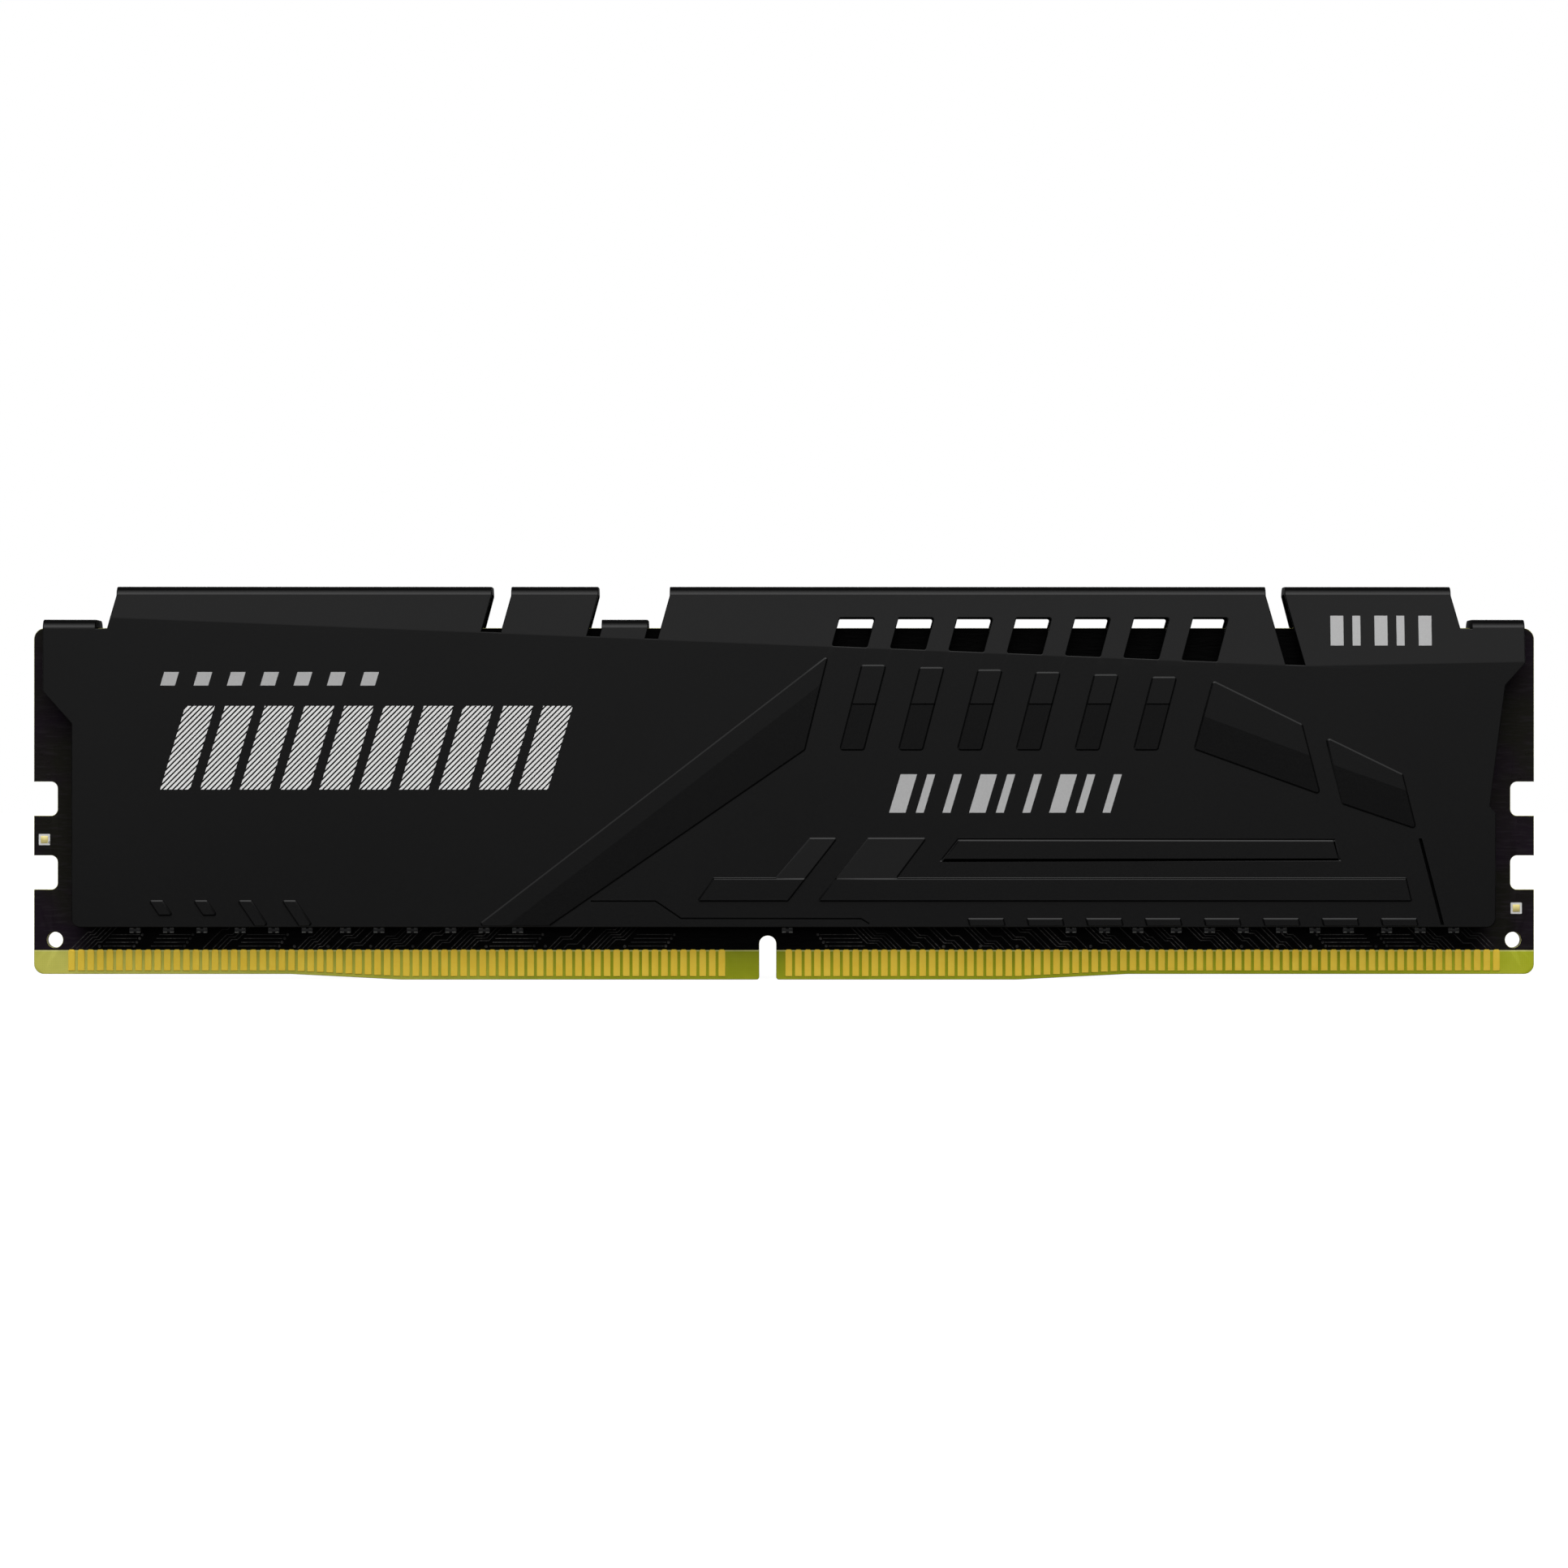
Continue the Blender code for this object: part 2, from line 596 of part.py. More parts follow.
def top_at(x, length):
    """Top height of the tab or wall that a point of the flat sheet belongs to."""
    for left, right, top in upstands():
        if side_at(left, top, length) - SIDE_SLACK < x < side_at(right, top, length) + SIDE_SLACK:
            return top
    return WALL_TOP


def sheet_outline():
    """The flat sheet's outline, clockwise from its lower left corner."""
    left_waist = LEFT_WAIST_INSET - BOARD_HALF
    right_waist = BOARD_HALF - RIGHT_WAIST_INSET
    outline = rounded(
        [
            (right_waist, SPREADER_BOTTOM + SPREADER_CORNER_RADIUS * 3, 0),
            (right_waist, SPREADER_BOTTOM, SPREADER_CORNER_RADIUS),
            (left_waist, SPREADER_BOTTOM, SPREADER_CORNER_RADIUS),
            (left_waist, BOARD_HEIGHT - LEFT_WAIST_DROP, 0),
        ]
    )
    outline.append((-SPREADER_END, BOARD_HEIGHT - LEFT_SHOULDER_DROP))
    for left, right, top in upstands():
        outline += side_points(left, top) + side_points(right, top)[::-1]
    low, high = RIGHT_SHOULDER_DROPS
    outline += [
        (SPREADER_END, BOARD_HEIGHT - high),
        (BOARD_HALF - RIGHT_SHOULDER_INSET, BOARD_HEIGHT - low),
        (BOARD_HALF - RIGHT_NECK_INSET, RIGHT_NECK_HEIGHT),
        (right_waist, RIGHT_WAIST_TOP),
    ]
    return sharp(outline)


def starts(first, pitch, width, limit):
    """Left sides of a row of shapes, as many as end before limit."""
    return [first + pitch * i for i in range(int((limit - first - width) / pitch) + 1)]


def window_outline(left):
    top = BOARD_HEIGHT + WINDOW_TOP_RISE
    corners = []
    for x, low in ((left, False), (left + WINDOW_WIDTH, False), (left + WINDOW_WIDTH, True), (left, True)):
        if low:
            drop = (top - crease_height(x) - SILL) / (1 + BAND_RISE_LEFT * CUT_LEAN)
            corners.append((x - CUT_LEAN * drop, top - drop, WINDOW_RADIUS))
        else:
            corners.append((x, top, WINDOW_RADIUS))
    return rounded(corners, steps=2)


def score(bm, x, length, climb):
    """Cuts the flat sheet's faces along a line through x and length that climbs by climb."""
    bmesh.ops.bisect_plane(
        bm,
        geom=bm.verts[:] + bm.edges[:] + bm.faces[:],
        dist=1e-8,
        plane_co=(x, length, 0),
        plane_no=(-climb, 1, 0),
    )


def folded_sheet(name):
    """One half of the spreader, cut as a flat plate, scored along its bends and folded."""
    limit = BOARD_HALF - SECOND_CUT_INSETS[0] - WINDOW_END_ROOM
    windows = [window_outline(left) for left in starts(WINDOW_FIRST, WINDOW_PITCH, WINDOW_WIDTH, limit)]
    bm = filled_outline(name, [sheet_outline(), *windows], SHEET_THICKNESS / 2)
    score(bm, BAND_APEX_X, BAND_APEX_HEIGHT, -BAND_RISE_LEFT)
    score(bm, BAND_APEX_X, BAND_APEX_HEIGHT, BAND_RISE_RIGHT)
    for top in (WALL_TOP, TAB_TOP):
        for step in range(BEND_STEPS + 1):
            score(bm, 0, bend(0, top)[0] + BEND_LENGTH * step / BEND_STEPS, 0)
    for vertex in bm.verts:
        x, length, level = vertex.co
        depth, height = folded(x, length, SHEET_THICKNESS / 2 - level, top_at(x, length))
        vertex.co = (x, -depth, height)
    return mesh_from(bm, name)


def raised_panel(name, outline, crease=None):
    """A low panel standing on the spreader's face. Below its crease line it slopes down to its border."""
    bm = filled_outline(name, [sharp(outline)], (RELIEF + RELIEF_ROOT) / 2)
    middle = SHEET_OUTER + (RELIEF - RELIEF_ROOT) / 2
    upright = Matrix.Translation((0, -middle, 0)) @ Matrix.Rotation(math.pi / 2, 4, "X")
    bmesh.ops.transform(bm, matrix=upright, verts=bm.verts)
    if crease:
        start, end = (Vector((x, 0, z)) for x, z in crease)
        across = Vector((0, 1, 0)).cross(end - start).normalized()
        geometry = bm.verts[:] + bm.edges[:] + bm.faces[:]
        bmesh.ops.bisect_plane(bm, geom=geometry, dist=1e-8, plane_co=start, plane_no=across)
        below = [vertex for vertex in bm.verts if (vertex.co - start).dot(across) * across.z < -1e-7]
        furthest = max(abs((vertex.co - start).dot(across)) for vertex in below)
        for vertex in below:
            if -vertex.co.y > SHEET_OUTER:
                share = abs((vertex.co - start).dot(across)) / furthest
                vertex.co.y = -SHEET_OUTER - RELIEF + (RELIEF - RELIEF_LOW) * share
    return mesh_from(bm, name)


def below_top(points):
    """Points of (x, drop below the board's top edge) as points of (x, height)."""
    return [(x, BOARD_HEIGHT - drop) for x, drop in points]


def ridge_panel(floor):
    left_foot, right_foot = RIDGE_FEET
    outline = [(left_foot, floor), *below_top(RIDGE_HEADS), (right_foot, floor)]
    return outline, [(RIDGE_CREASE_FOOT, floor), *below_top([RIDGE_CREASE_HEAD])]


def tile_panels():
    def placed(points):
        return below_top([(BOARD_HALF - inset, drop) for inset, drop in points])

    return [(placed(corners), placed(crease)) for corners, crease in zip(TILE_CORNERS, TILE_CREASES)]


def rail_panels():
    shelf_corner, head_left, head_right = LEFT_RAIL_HEAD
    foot_left, foot_right = LEFT_RAIL_FOOT
    left_rail = [(head_left, RAIL_HEAD), (head_right, RAIL_HEAD), (foot_right, RAIL_FOOT)]
    left_rail += [(foot_left, RAIL_FOOT), (LEFT_RAIL_SHELF_END, RAIL_SHELF), (shelf_corner, RAIL_SHELF)]
    head_left, head_right, shelf_corner = RIGHT_RAIL_HEAD
    shelf_end, foot_end = (BOARD_HALF - inset for inset in RIGHT_RAIL_END_INSETS)
    right_rail = [(head_left, RAIL_HEAD), (head_right, RAIL_HEAD), (shelf_corner, RAIL_SHELF)]
    right_rail += [(shelf_end, RAIL_SHELF), (foot_end, RAIL_FOOT), (RIGHT_RAIL_FOOT, RAIL_FOOT)]
    return [(left_rail, None), (right_rail, None)]


def bar_panels():
    panels = []
    floor = BOARD_HEIGHT - BAR_FLOOR_DROP
    crease = BOARD_HEIGHT - BAR_CREASE_DROP
    tile_left = BOARD_HALF - TILE_CORNERS[0][-1][0]
    for left in starts(BAR_FIRST, BAR_PITCH, BAR_WIDTH, tile_left):
        right = left + BAR_WIDTH
        top = crease_height(right) - BAR_TOP_GAP
        shift = BAR_LEAN * (top - floor)
        outline = [(left + shift, top), (right + shift, top), (right, floor), (left, floor)]
        panels.append((outline, [(left, crease), (right, crease)]))
    return panels


def slanted_panel(left, width, top, foot, lean):
    """A short bar whose foot is shifted to the right of its top by lean times its height."""
    shift = lean * (top - foot)
    return [(left, top), (left + width, top), (left + width + shift, foot), (left + shift, foot)], None


def panel_outlines():
    """Outlines of the raised pattern, each with its crease line or None."""
    floor = SPREADER_BOTTOM + PANEL_MARGIN
    panels = [ridge_panel(floor), *tile_panels(), *rail_panels(), *bar_panels()]
    rail_end = BOARD_HALF - RIGHT_RAIL_END_INSETS[0]
    for left in starts(DASH_FIRST, WINDOW_PITCH, 0, rail_end):
        panels.append(slanted_panel(left, DASH_WIDTH, DASH_TOP, floor, CUT_LEAN))
    for number, foot in enumerate(MARK_FOOT_HEIGHTS):
        left = MARK_INSET - BOARD_HALF + MARK_PITCH * number
        panels.append(slanted_panel(left, MARK_WIDTH, RAIL_FOOT, foot, -MARK_LEAN))
    return panels


def make_heat_spreader(collection, cutters, look):
    panels = bmesh.new()
    for outline, crease in panel_outlines():
        mesh = raised_panel("panel", outline, crease)
        panels.from_mesh(mesh)
        bpy.data.meshes.remove(mesh)
    bmesh.ops.recalc_face_normals(panels, faces=panels.faces)
    pattern = mesh_from(panels, "raised_pattern")
    sheet = folded_sheet("spreader_sheet")
    for place in ("front", "back"):
        if place == "back":
            sheet = turned_to_back(sheet, "spreader_sheet_back")
            pattern = turned_to_back(pattern, "raised_pattern_back")
        raised = add_object(f"raised_pattern_{place}", pattern, cutters)
        raised.hide_render = True
        raised.display_type = "WIRE"
        half = add_object(f"heat_spreader_{place}", sheet, collection, look)
        join = half.modifiers.new("raised_pattern", "BOOLEAN")
        join.operation = "UNION"
        join.use_self = True
        join.object = raised


def make_back_label(collection, look):
    near = SHEET_OUTER + CONTACT_GAP
    label = block("label", *LABEL_PLACE, LABEL_LENGTH, LABEL_HEIGHT, near, near + LABEL_THICKNESS)
    add_object("back_label", turned_to_back(label, "back_label"), collection, look)


def main():
    for existing in list(bpy.data.objects):
        bpy.data.objects.remove(existing)
    module = new_collection("ram_module")
    cutters = new_collection("ram_module_helpers")
    board = material("black_solder_mask", (0.006, 0.005, 0.006), 0.45, 0)
    gold = material("gold_plating", (0.72, 0.49, 0.12), 0.28, 1)
    resin = material("black_resin", (0.012, 0.012, 0.013), 0.55, 0)
    ferrite = material("grey_ferrite", (0.1, 0.1, 0.1), 0.6, 0)
    ceramic = material("tan_ceramic", (0.3, 0.2, 0.12), 0.45, 0)
    resistor = material("resistor_metal_ends", (0.45, 0.45, 0.44), 0.4, 1)
    pad = material("grey_thermal_pad", (0.33, 0.36, 0.4), 0.85, 0)
    coating = material("black_coated_aluminium", (0.013, 0.013, 0.014), 0.42, 0.3)
    paper = material("white_label", (0.75, 0.75, 0.74), 0.5, 0)
    make_circuit_board(module, board)
    make_contacts(module, gold)
    make_camera_targets(module, gold)
    make_memory_chips(module, resin)
    make_power_parts(module, resin, ferrite, ceramic)
    make_resistors(module, resistor)
    make_thermal_pads(module, pad)
    make_heat_spreader(module, cutters, coating)
    make_back_label(module, paper)


main()
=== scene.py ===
"""Looks of a desktop memory module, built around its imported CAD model.

Lengths are in millimetres until a mesh is written. Shapes are drawn flat, in x and height, with a level above
that drawing plane, and are then stood up: a level becomes a depth from the board's middle plane towards the
side with the chips, which faces -Y. Pieces on the back are mirrored copies.
"""

import math
import random

import bmesh
import bpy
from mathutils import Matrix, Vector


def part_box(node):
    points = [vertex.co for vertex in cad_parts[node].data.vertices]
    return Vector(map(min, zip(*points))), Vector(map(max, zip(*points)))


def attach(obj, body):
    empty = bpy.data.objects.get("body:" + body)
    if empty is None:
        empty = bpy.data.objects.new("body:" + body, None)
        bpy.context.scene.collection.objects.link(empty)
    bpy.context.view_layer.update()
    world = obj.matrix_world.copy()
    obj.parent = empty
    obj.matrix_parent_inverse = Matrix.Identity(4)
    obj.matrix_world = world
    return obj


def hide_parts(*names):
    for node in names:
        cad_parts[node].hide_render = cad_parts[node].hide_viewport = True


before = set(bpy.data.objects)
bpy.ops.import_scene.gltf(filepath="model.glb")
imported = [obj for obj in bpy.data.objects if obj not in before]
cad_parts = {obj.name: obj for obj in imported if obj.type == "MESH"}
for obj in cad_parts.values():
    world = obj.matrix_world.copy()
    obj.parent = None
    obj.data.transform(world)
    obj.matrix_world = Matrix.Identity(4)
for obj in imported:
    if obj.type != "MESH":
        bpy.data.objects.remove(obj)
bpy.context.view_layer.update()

MM = 0.001

# Camera and stage, in metres
CAMERA_PLACE = (0, -0.533, 0.01739)
CAMERA_LENS = 137.5
FLOOR_RADIUS = 3.0
BACKDROP_RADIUS = 3.2
FLOOR_DROP = 0.00002

# Light
FILL = 1.15
SOFTBOX = 2.6
REAR_LIGHT = 2.2
CARD_LIGHT = 0.8
BASE_LIGHT = 0.05

# Board: the laminate core and the solder mask on both of its faces
MASK_THICKNESS = 0.02
MASK_FOOT = 2.6
MASK_INSET = 0.03
BOARD_TOP_RADIUS = 1.0
BOARD_BOTTOM_RADIUS = 0.9
EDGE_RISE = 0.5
EDGE_LOW = (-33.99, 20.64)
EDGE_RISE_RUN = 9.9
KEY_CENTRE = -1.45
KEY_WIDTH = 1.5
KEY_DEPTH = 3.9
KEY_MOUTH_RADIUS = 0.25
LATCH_DEPTH = 2.1
LATCH_HEIGHT = 3.03
LATCH_FLOORS = (8.01, 14.57)
LATCH_RADIUS = 0.6
TOOLING_HOLE = (1.87, 3.54, 0.7)  # inset from the board's end, height, radius

# Contact pads
CONTACT_PITCH = 0.85
CONTACT_WIDTH = 0.6
CONTACT_FOOT_MARGIN = 0.3
CONTACT_TOP = 2.68
CONTACT_TOP_RADIUS = 0.17

# Traces and vias that show through the mask
TRACE_HALF_WIDTH = 0.05
TRACE_HEIGHT = 0.016
TRACE_SLOPE = 0.04
VIA_HEIGHT = 0.03
TRACES_KEPT = 0.85  # the chance that a trace of a bundle is drawn
LEVEL_CHANCE = 0.22  # the chance that the next bundle is a level one
BUNDLE_PITCH = 0.22
BUNDLE_TOP = 5.4
LEVEL_PITCH = 0.34
LEVEL_FOOT = 2.98
PRINT_SINK = 0.004  # how far a trace or via reaches into the mask below it
END_VIAS = (  # inset from the board's end, height, radius
    (1.28, 18.05, 0.26),
    (1.28, 14.12, 0.26),
    (0.62, 20.1, 0.17),
    (1.2, 19.3, 0.14),
    (1.4, 12.2, 0.14),
)
TRACE_SEED = 7

# Heat spreader sheet
SHEET = 0.7
RELIEF = 0.25
EDGE_ROUND = 0.08
SEAM_HALF = 0.05
BEND_RISE = 0.82
INNER_BEND_RADIUS = 0.12
KNEE = math.radians(24)  # the top bend starts with a tight turn this far, and goes on gently to a right angle
KNEE_LENGTH = 0.14
BEND_STEPS = 8
BAND_SLOPE = 0.16
BAND_APEX = (45.96, 27.85)
BAND_RISES = (0.0407, 0.0194)
CREASE_HALF = 0.07
SILL = 0.06
CUT_LEAN = 0.275
SIDE_SLACK = 0.01
STEEP = 0.75  # faces whose normal leans further from the sheet's own than this cosine are cut edges and walls; they get the darker material, as painted shade
END_TAB_LENGTH = 4.66
END_GAP = 1.03
FIRST_CUT = (-26.79, -25.08)
MIDDLE_TAB = (-16.35, -12.29)
MIDDLE_TAB_GAP = 1.1
SECOND_CUT = (44.4, 46.1)
LEFT_STEP = ((-63.055, 22.74), (-65.61, 25.65))
RIGHT_STEPS = ((65.61, 28.05), (63.865, 26.12), (62.455, 15.45), (62.985, 14.88))
SPREADER_CORNER_RADIUS = 0.83
WINDOW_COUNT = 7
WINDOW_PITCH = 5.22
WINDOW_WIDTH = 3.12
WINDOW_FIRST = 4.94
WINDOW_TOP = 32.11
WINDOW_RADIUS = 0.15

# Raised pattern on the spreader
WALL = 0.015  # how far a panel's steep wall leans inwards
CHAMFER = 0.13
BORDER_OUT = 0.08  # how far a panel's border reaches outside its outline
CHAMFER_DROP = 0.078
PATTERN_FLOOR = 4.84

# Printed marks
INK = 0.012
HATCH_PITCH = 0.335
HATCH_SHARE = 0.6

# Solder balls under a memory chip
BALL_PITCH = 0.8
BALL_RADIUS = 0.22
BALL_ROWS = 13
BALL_BLOCK = 1.6  # from the chip's middle to the first column of a block


# ---- Outlines and solids ----


def rounded(corners, steps=5):
    """The outline through corners of (x, height, radius), each round one drawn as an arc."""
    points = []
    for i, (x, z, radius) in enumerate(corners):
        corner = Vector((x, z))
        if radius == 0:
            points.append(corner)
            continue
        back = (Vector(corners[i - 1][:2]) - corner).normalized()
        ahead = (Vector(corners[(i + 1) % len(corners)][:2]) - corner).normalized()
        half_angle = back.angle(ahead) / 2
        centre = corner + (back + ahead).normalized() * radius / math.sin(half_angle)
        start = corner + back * radius / math.tan(half_angle) - centre
        turn = math.pi - 2 * half_angle
        if back.cross(ahead) > 0:
            turn = -turn
        for step in range(steps + 1):
            points.append(centre + Matrix.Rotation(turn * step / steps, 2) @ start)
    return points


def soft(points, radius, steps=3):
    return rounded([(x, z, radius) for x, z in points], steps)


def rectangle(x, z, width, height, radius=0.0):
    half_width, half_height = width / 2, height / 2
    sides = ((-1, -1), (1, -1), (1, 1), (-1, 1))
    return soft([(x + i * half_width, z + j * half_height) for i, j in sides], radius)


def circle(x, z, radius, sides=32):
    turns = [math.tau * side / sides for side in range(sides)]
    return [Vector((x + radius * math.cos(turn), z + radius * math.sin(turn))) for turn in turns]


def area(outline):
    return sum(a.cross(b) for a, b in zip(outline, outline[1:] + outline[:1])) / 2


def inset(outline, distance):
    """The outline moved inwards by a distance, or outwards if it is negative."""
    if area(outline) < 0:
        distance = -distance
    moved = []
    for i, point in enumerate(outline):
        before = (point - outline[i - 1]).normalized()
        after = (outline[(i + 1) % len(outline)] - point).normalized()
        first, second = Vector((-before.y, before.x)), Vector((-after.y, after.x))
        moved.append(point + (first + second) * distance / (1 + first.dot(second)))
    return moved


def stroke(points, half_width):
    """The outline of a line of even width through these points."""
    points = [Vector(point) for point in points]
    left, right = [], []
    for i, point in enumerate(points):
        before = (point - points[i - 1]).normalized() if i else None
        after = (points[i + 1] - point).normalized() if i + 1 < len(points) else before
        before = before or after
        first, second = Vector((-before.y, before.x)), Vector((-after.y, after.x))
        aside = (first + second) * half_width / (1 + first.dot(second))
        left.append(point + aside)
        right.append(point - aside)
    return left + right[::-1]


def ring(bm, outline, level):
    return [bm.verts.new((x, z, level)) for x, z in outline]


def bridge(bm, rings):
    for low, high in zip(rings, rings[1:]):
        for i in range(len(low)):
            bm.faces.new((low[i - 1], low[i], high[i], high[i - 1]))
    return rings


def lofted(bm, outline, profile, side=1):
    """Joined rings along an outline. They follow a profile of (inset, level); side is -1 around a hole."""
    return bridge(bm, [ring(bm, inset(outline, side * step), level) for step, level in profile])


def fill(bm, edges):
    """Fills the flat area between these edges, with its holes left open."""
    bmesh.ops.triangle_fill(bm, use_beauty=True, edges=edges, normal=(0, 0, 1))


def open_edges(bm, level):
    near = 1e-6
    return [e for e in bm.edges if e.is_boundary and all(abs(v.co.z - level) < near for v in e.verts)]


def loop_edges(bm, verts):
    return [bm.edges.get((verts[i - 1], verts[i])) for i in range(len(verts))]


def add_solid(bm, outlines, profile):
    """A solid inside the first outline and outside the others, with sides that follow a profile."""
    first, last = [], []
    for number, outline in enumerate(outlines):
        rings = lofted(bm, outline, profile, -1 if number else 1)
        first += loop_edges(bm, rings[0])
        last += loop_edges(bm, rings[-1])
    fill(bm, first)
    fill(bm, last)


def eased(near, far, radius, steps=3, both=False):
    """The profile of a plate's side whose far edge, or both edges, are rounded."""
    turns = [math.pi / 2 * step / steps for step in range(steps + 1)]
    top = [(radius * (1 - math.cos(turn)), far - radius * (1 - math.sin(turn))) for turn in turns]
    if both:
        return [(step, near + far - level) for step, level in reversed(top)] + top
    return [(0, near)] + top


def solid(outlines, profile):
    bm = bmesh.new()
    add_solid(bm, outlines, profile)
    return bm


def stand(bm):
    """Turns the drawing upright: height along Z, level towards -Y."""
    bmesh.ops.transform(bm, matrix=Matrix.Rotation(math.pi / 2, 4, "X"), verts=bm.verts)


def write_piece(name, bm, finish, nodes=(), sharp=40, back=False, upright=False):
    """Makes a drawing in millimetres, or an upright mesh, into a piece that rides on the module.

    A finish is a list of materials and the record's slot for them; the slot is not used. The piece replaces
    the CAD nodes.
    """
    materials, slot = finish
    if not upright:
        stand(bm)
    scale = Matrix.Diagonal((MM, -MM if back else MM, MM, 1))
    bmesh.ops.transform(bm, matrix=scale, verts=bm.verts)
    bmesh.ops.recalc_face_normals(bm, faces=bm.faces)
    for face in bm.faces:
        face.smooth = True
    for edge in bm.edges:
        if edge.calc_face_angle(0) > math.radians(sharp):
            edge.smooth = False
    mesh = bpy.data.meshes.new(name)
    bm.to_mesh(mesh)
    bm.free()
    for material in materials:
        mesh.materials.append(material)
    piece = bpy.data.objects.new(name, mesh)
    bpy.context.scene.collection.objects.link(piece)
    weighted = piece.modifiers.new("flat_faces_stay_flat", "WEIGHTED_NORMAL")
    weighted.keep_sharp = True
    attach(piece, "root")
    if nodes:
        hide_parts(*nodes)
    return piece


def flat_piece(name, outlines, profile, finish, nodes=(), **choices):
    return write_piece(name, solid(outlines, profile), finish, nodes, **choices)


class Place:
    """Where a CAD node lies, in millimetres: its middle, width and height, and its near and far levels."""

    def __init__(self, node):
        low, high = (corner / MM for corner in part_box(node))
        self.x, self.z = (low.x + high.x) / 2, (low.z + high.z) / 2
        self.width, self.height = high.x - low.x, high.z - low.z
        self.left, self.right, self.bottom, self.top = low.x, high.x, low.z, high.z
        self.near, self.far = sorted((abs(low.y), abs(high.y)))
        self.back = high.y > 0.1 and low.y > 0

    def outline(self, radius, wider=0.0, higher=0.0):
        return rectangle(self.x, self.z, self.width + wider, self.height + higher, radius)


BOARD = Place("circuit_board")
BOARD_END = BOARD.right
BOARD_FACE = BOARD.far
CORE_FACE = BOARD_FACE - MASK_THICKNESS
SPREADER = Place("heat_spreader_front")
SHEET_OUTER = SPREADER.far - RELIEF


# ---- Materials ----


class Graph:
    """A node tree and the few nodes that looks and light are made of."""

    def __init__(self, tree):
        self.nodes, self.links = tree.nodes, tree.links

    def feed(self, socket, value):
        if isinstance(value, bpy.types.NodeSocket):
            self.links.new(value, socket)
        elif hasattr(socket.default_value, "__len__") and len(socket.default_value) == 4:
            socket.default_value = (*value, 1)
        else:
            socket.default_value = value

    def operate(self, operation, first, second):
        node = self.nodes.new("ShaderNodeMath")
        node.operation = operation
        self.feed(node.inputs[0], first)
        self.feed(node.inputs[1], second)
        return node.outputs["Value"]

    def ranged(self, value, low, high, new_low=0.0, new_high=1.0, kind="LINEAR"):
        node = self.nodes.new("ShaderNodeMapRange")
        node.interpolation_type = kind
        self.links.new(value, node.inputs["Value"])
        for name, number in zip(("From Min", "From Max", "To Min", "To Max"), (low, high, new_low, new_high)):
            node.inputs[name].default_value = number
        return node.outputs["Result"]


class Look(Graph):
    """A Principled material."""

    def __init__(self, name, colour, roughness, metallic=0.0, specular=0.5):
        self.material = bpy.data.materials.new(name)
        self.material.use_nodes = True
        super().__init__(self.material.node_tree)
        self.shader = self.nodes["Principled BSDF"]
        sockets = ("Base Color", "Roughness", "Metallic", "Specular IOR Level")
        for socket, value in zip(sockets, (colour, roughness, metallic, specular)):
            self.feed(self.shader.inputs[socket], value)
        self.place = self.nodes.new("ShaderNodeTexCoord").outputs["Object"]
        self.normal = None

    def pattern(self, kind, scale, output):
        """A texture with this many features to a millimetre, the same along each axis or given for each."""
        scale = (scale,) * 3 if isinstance(scale, (int, float)) else scale
        mapping = self.nodes.new("ShaderNodeMapping")
        mapping.inputs["Scale"].default_value = [factor / MM for factor in scale]
        self.links.new(self.place, mapping.inputs["Vector"])
        node = self.nodes.new(kind)
        node.inputs["Scale"].default_value = 1
        self.links.new(mapping.outputs["Vector"], node.inputs["Vector"])
        return node, node.outputs[output]

    def noise(self, scale, detail=3.0, roughness=0.55):
        node, value = self.pattern("ShaderNodeTexNoise", scale, "Fac")
        node.inputs["Detail"].default_value = detail
        node.inputs["Roughness"].default_value = roughness
        return value

    def cells(self, scale):
        return self.pattern("ShaderNodeTexVoronoi", scale, "Distance")[1]

    def waves(self, scale, axis, distortion):
        node, value = self.pattern("ShaderNodeTexWave", scale, "Fac")
        node.bands_direction = axis
        node.inputs["Distortion"].default_value = distortion
        return value

    def along(self, axis, low, high):
        """0 to 1 between two places along an axis, in millimetres."""
        node = self.nodes.new("ShaderNodeSeparateXYZ")
        self.links.new(self.place, node.inputs["Vector"])
        return self.ranged(node.outputs[axis], low * MM, high * MM)

    def blend(self, share, first, second, *limits):
        """A mix of two colours. Limits, if any are given, stretch the share as ranged does."""
        if limits:
            share = self.ranged(share, *limits)
        node = self.nodes.new("ShaderNodeMix")
        node.data_type = "RGBA"
        self.links.new(share, node.inputs["Factor"])
        self.feed(node.inputs["A"], first)
        self.feed(node.inputs["B"], second)
        return node.outputs["Result"]

    def colour(self, value):
        self.feed(self.shader.inputs["Base Color"], value)

    def roughness(self, value, low, high):
        self.feed(self.shader.inputs["Roughness"], self.ranged(value, 0.3, 0.7, low, high))

    def bump(self, value, height):
        """Raises the surface by value times a height in millimetres. Later bumps add to earlier ones."""
        node = self.nodes.new("ShaderNodeBump")
        node.inputs["Distance"].default_value = height * MM
        self.links.new(value, node.inputs["Height"])
        if self.normal:
            self.links.new(self.normal, node.inputs["Normal"])
        self.normal = node.outputs["Normal"]
        self.links.new(self.normal, self.shader.inputs["Normal"])


def grained(name, dark, light, roughness, scale, bump, gloss=(), detail=3.0, limits=(0.3, 0.7), **finish):
    """A material whose colour and surface, and gloss if its limits are given, follow one fine grain."""
    look = Look(name, light, roughness, **finish)
    grain = look.noise(scale, detail)
    look.colour(look.blend(grain, dark, light, *limits))
    if gloss:
        look.roughness(grain, *gloss)
    look.bump(grain, bump)
    return look.material


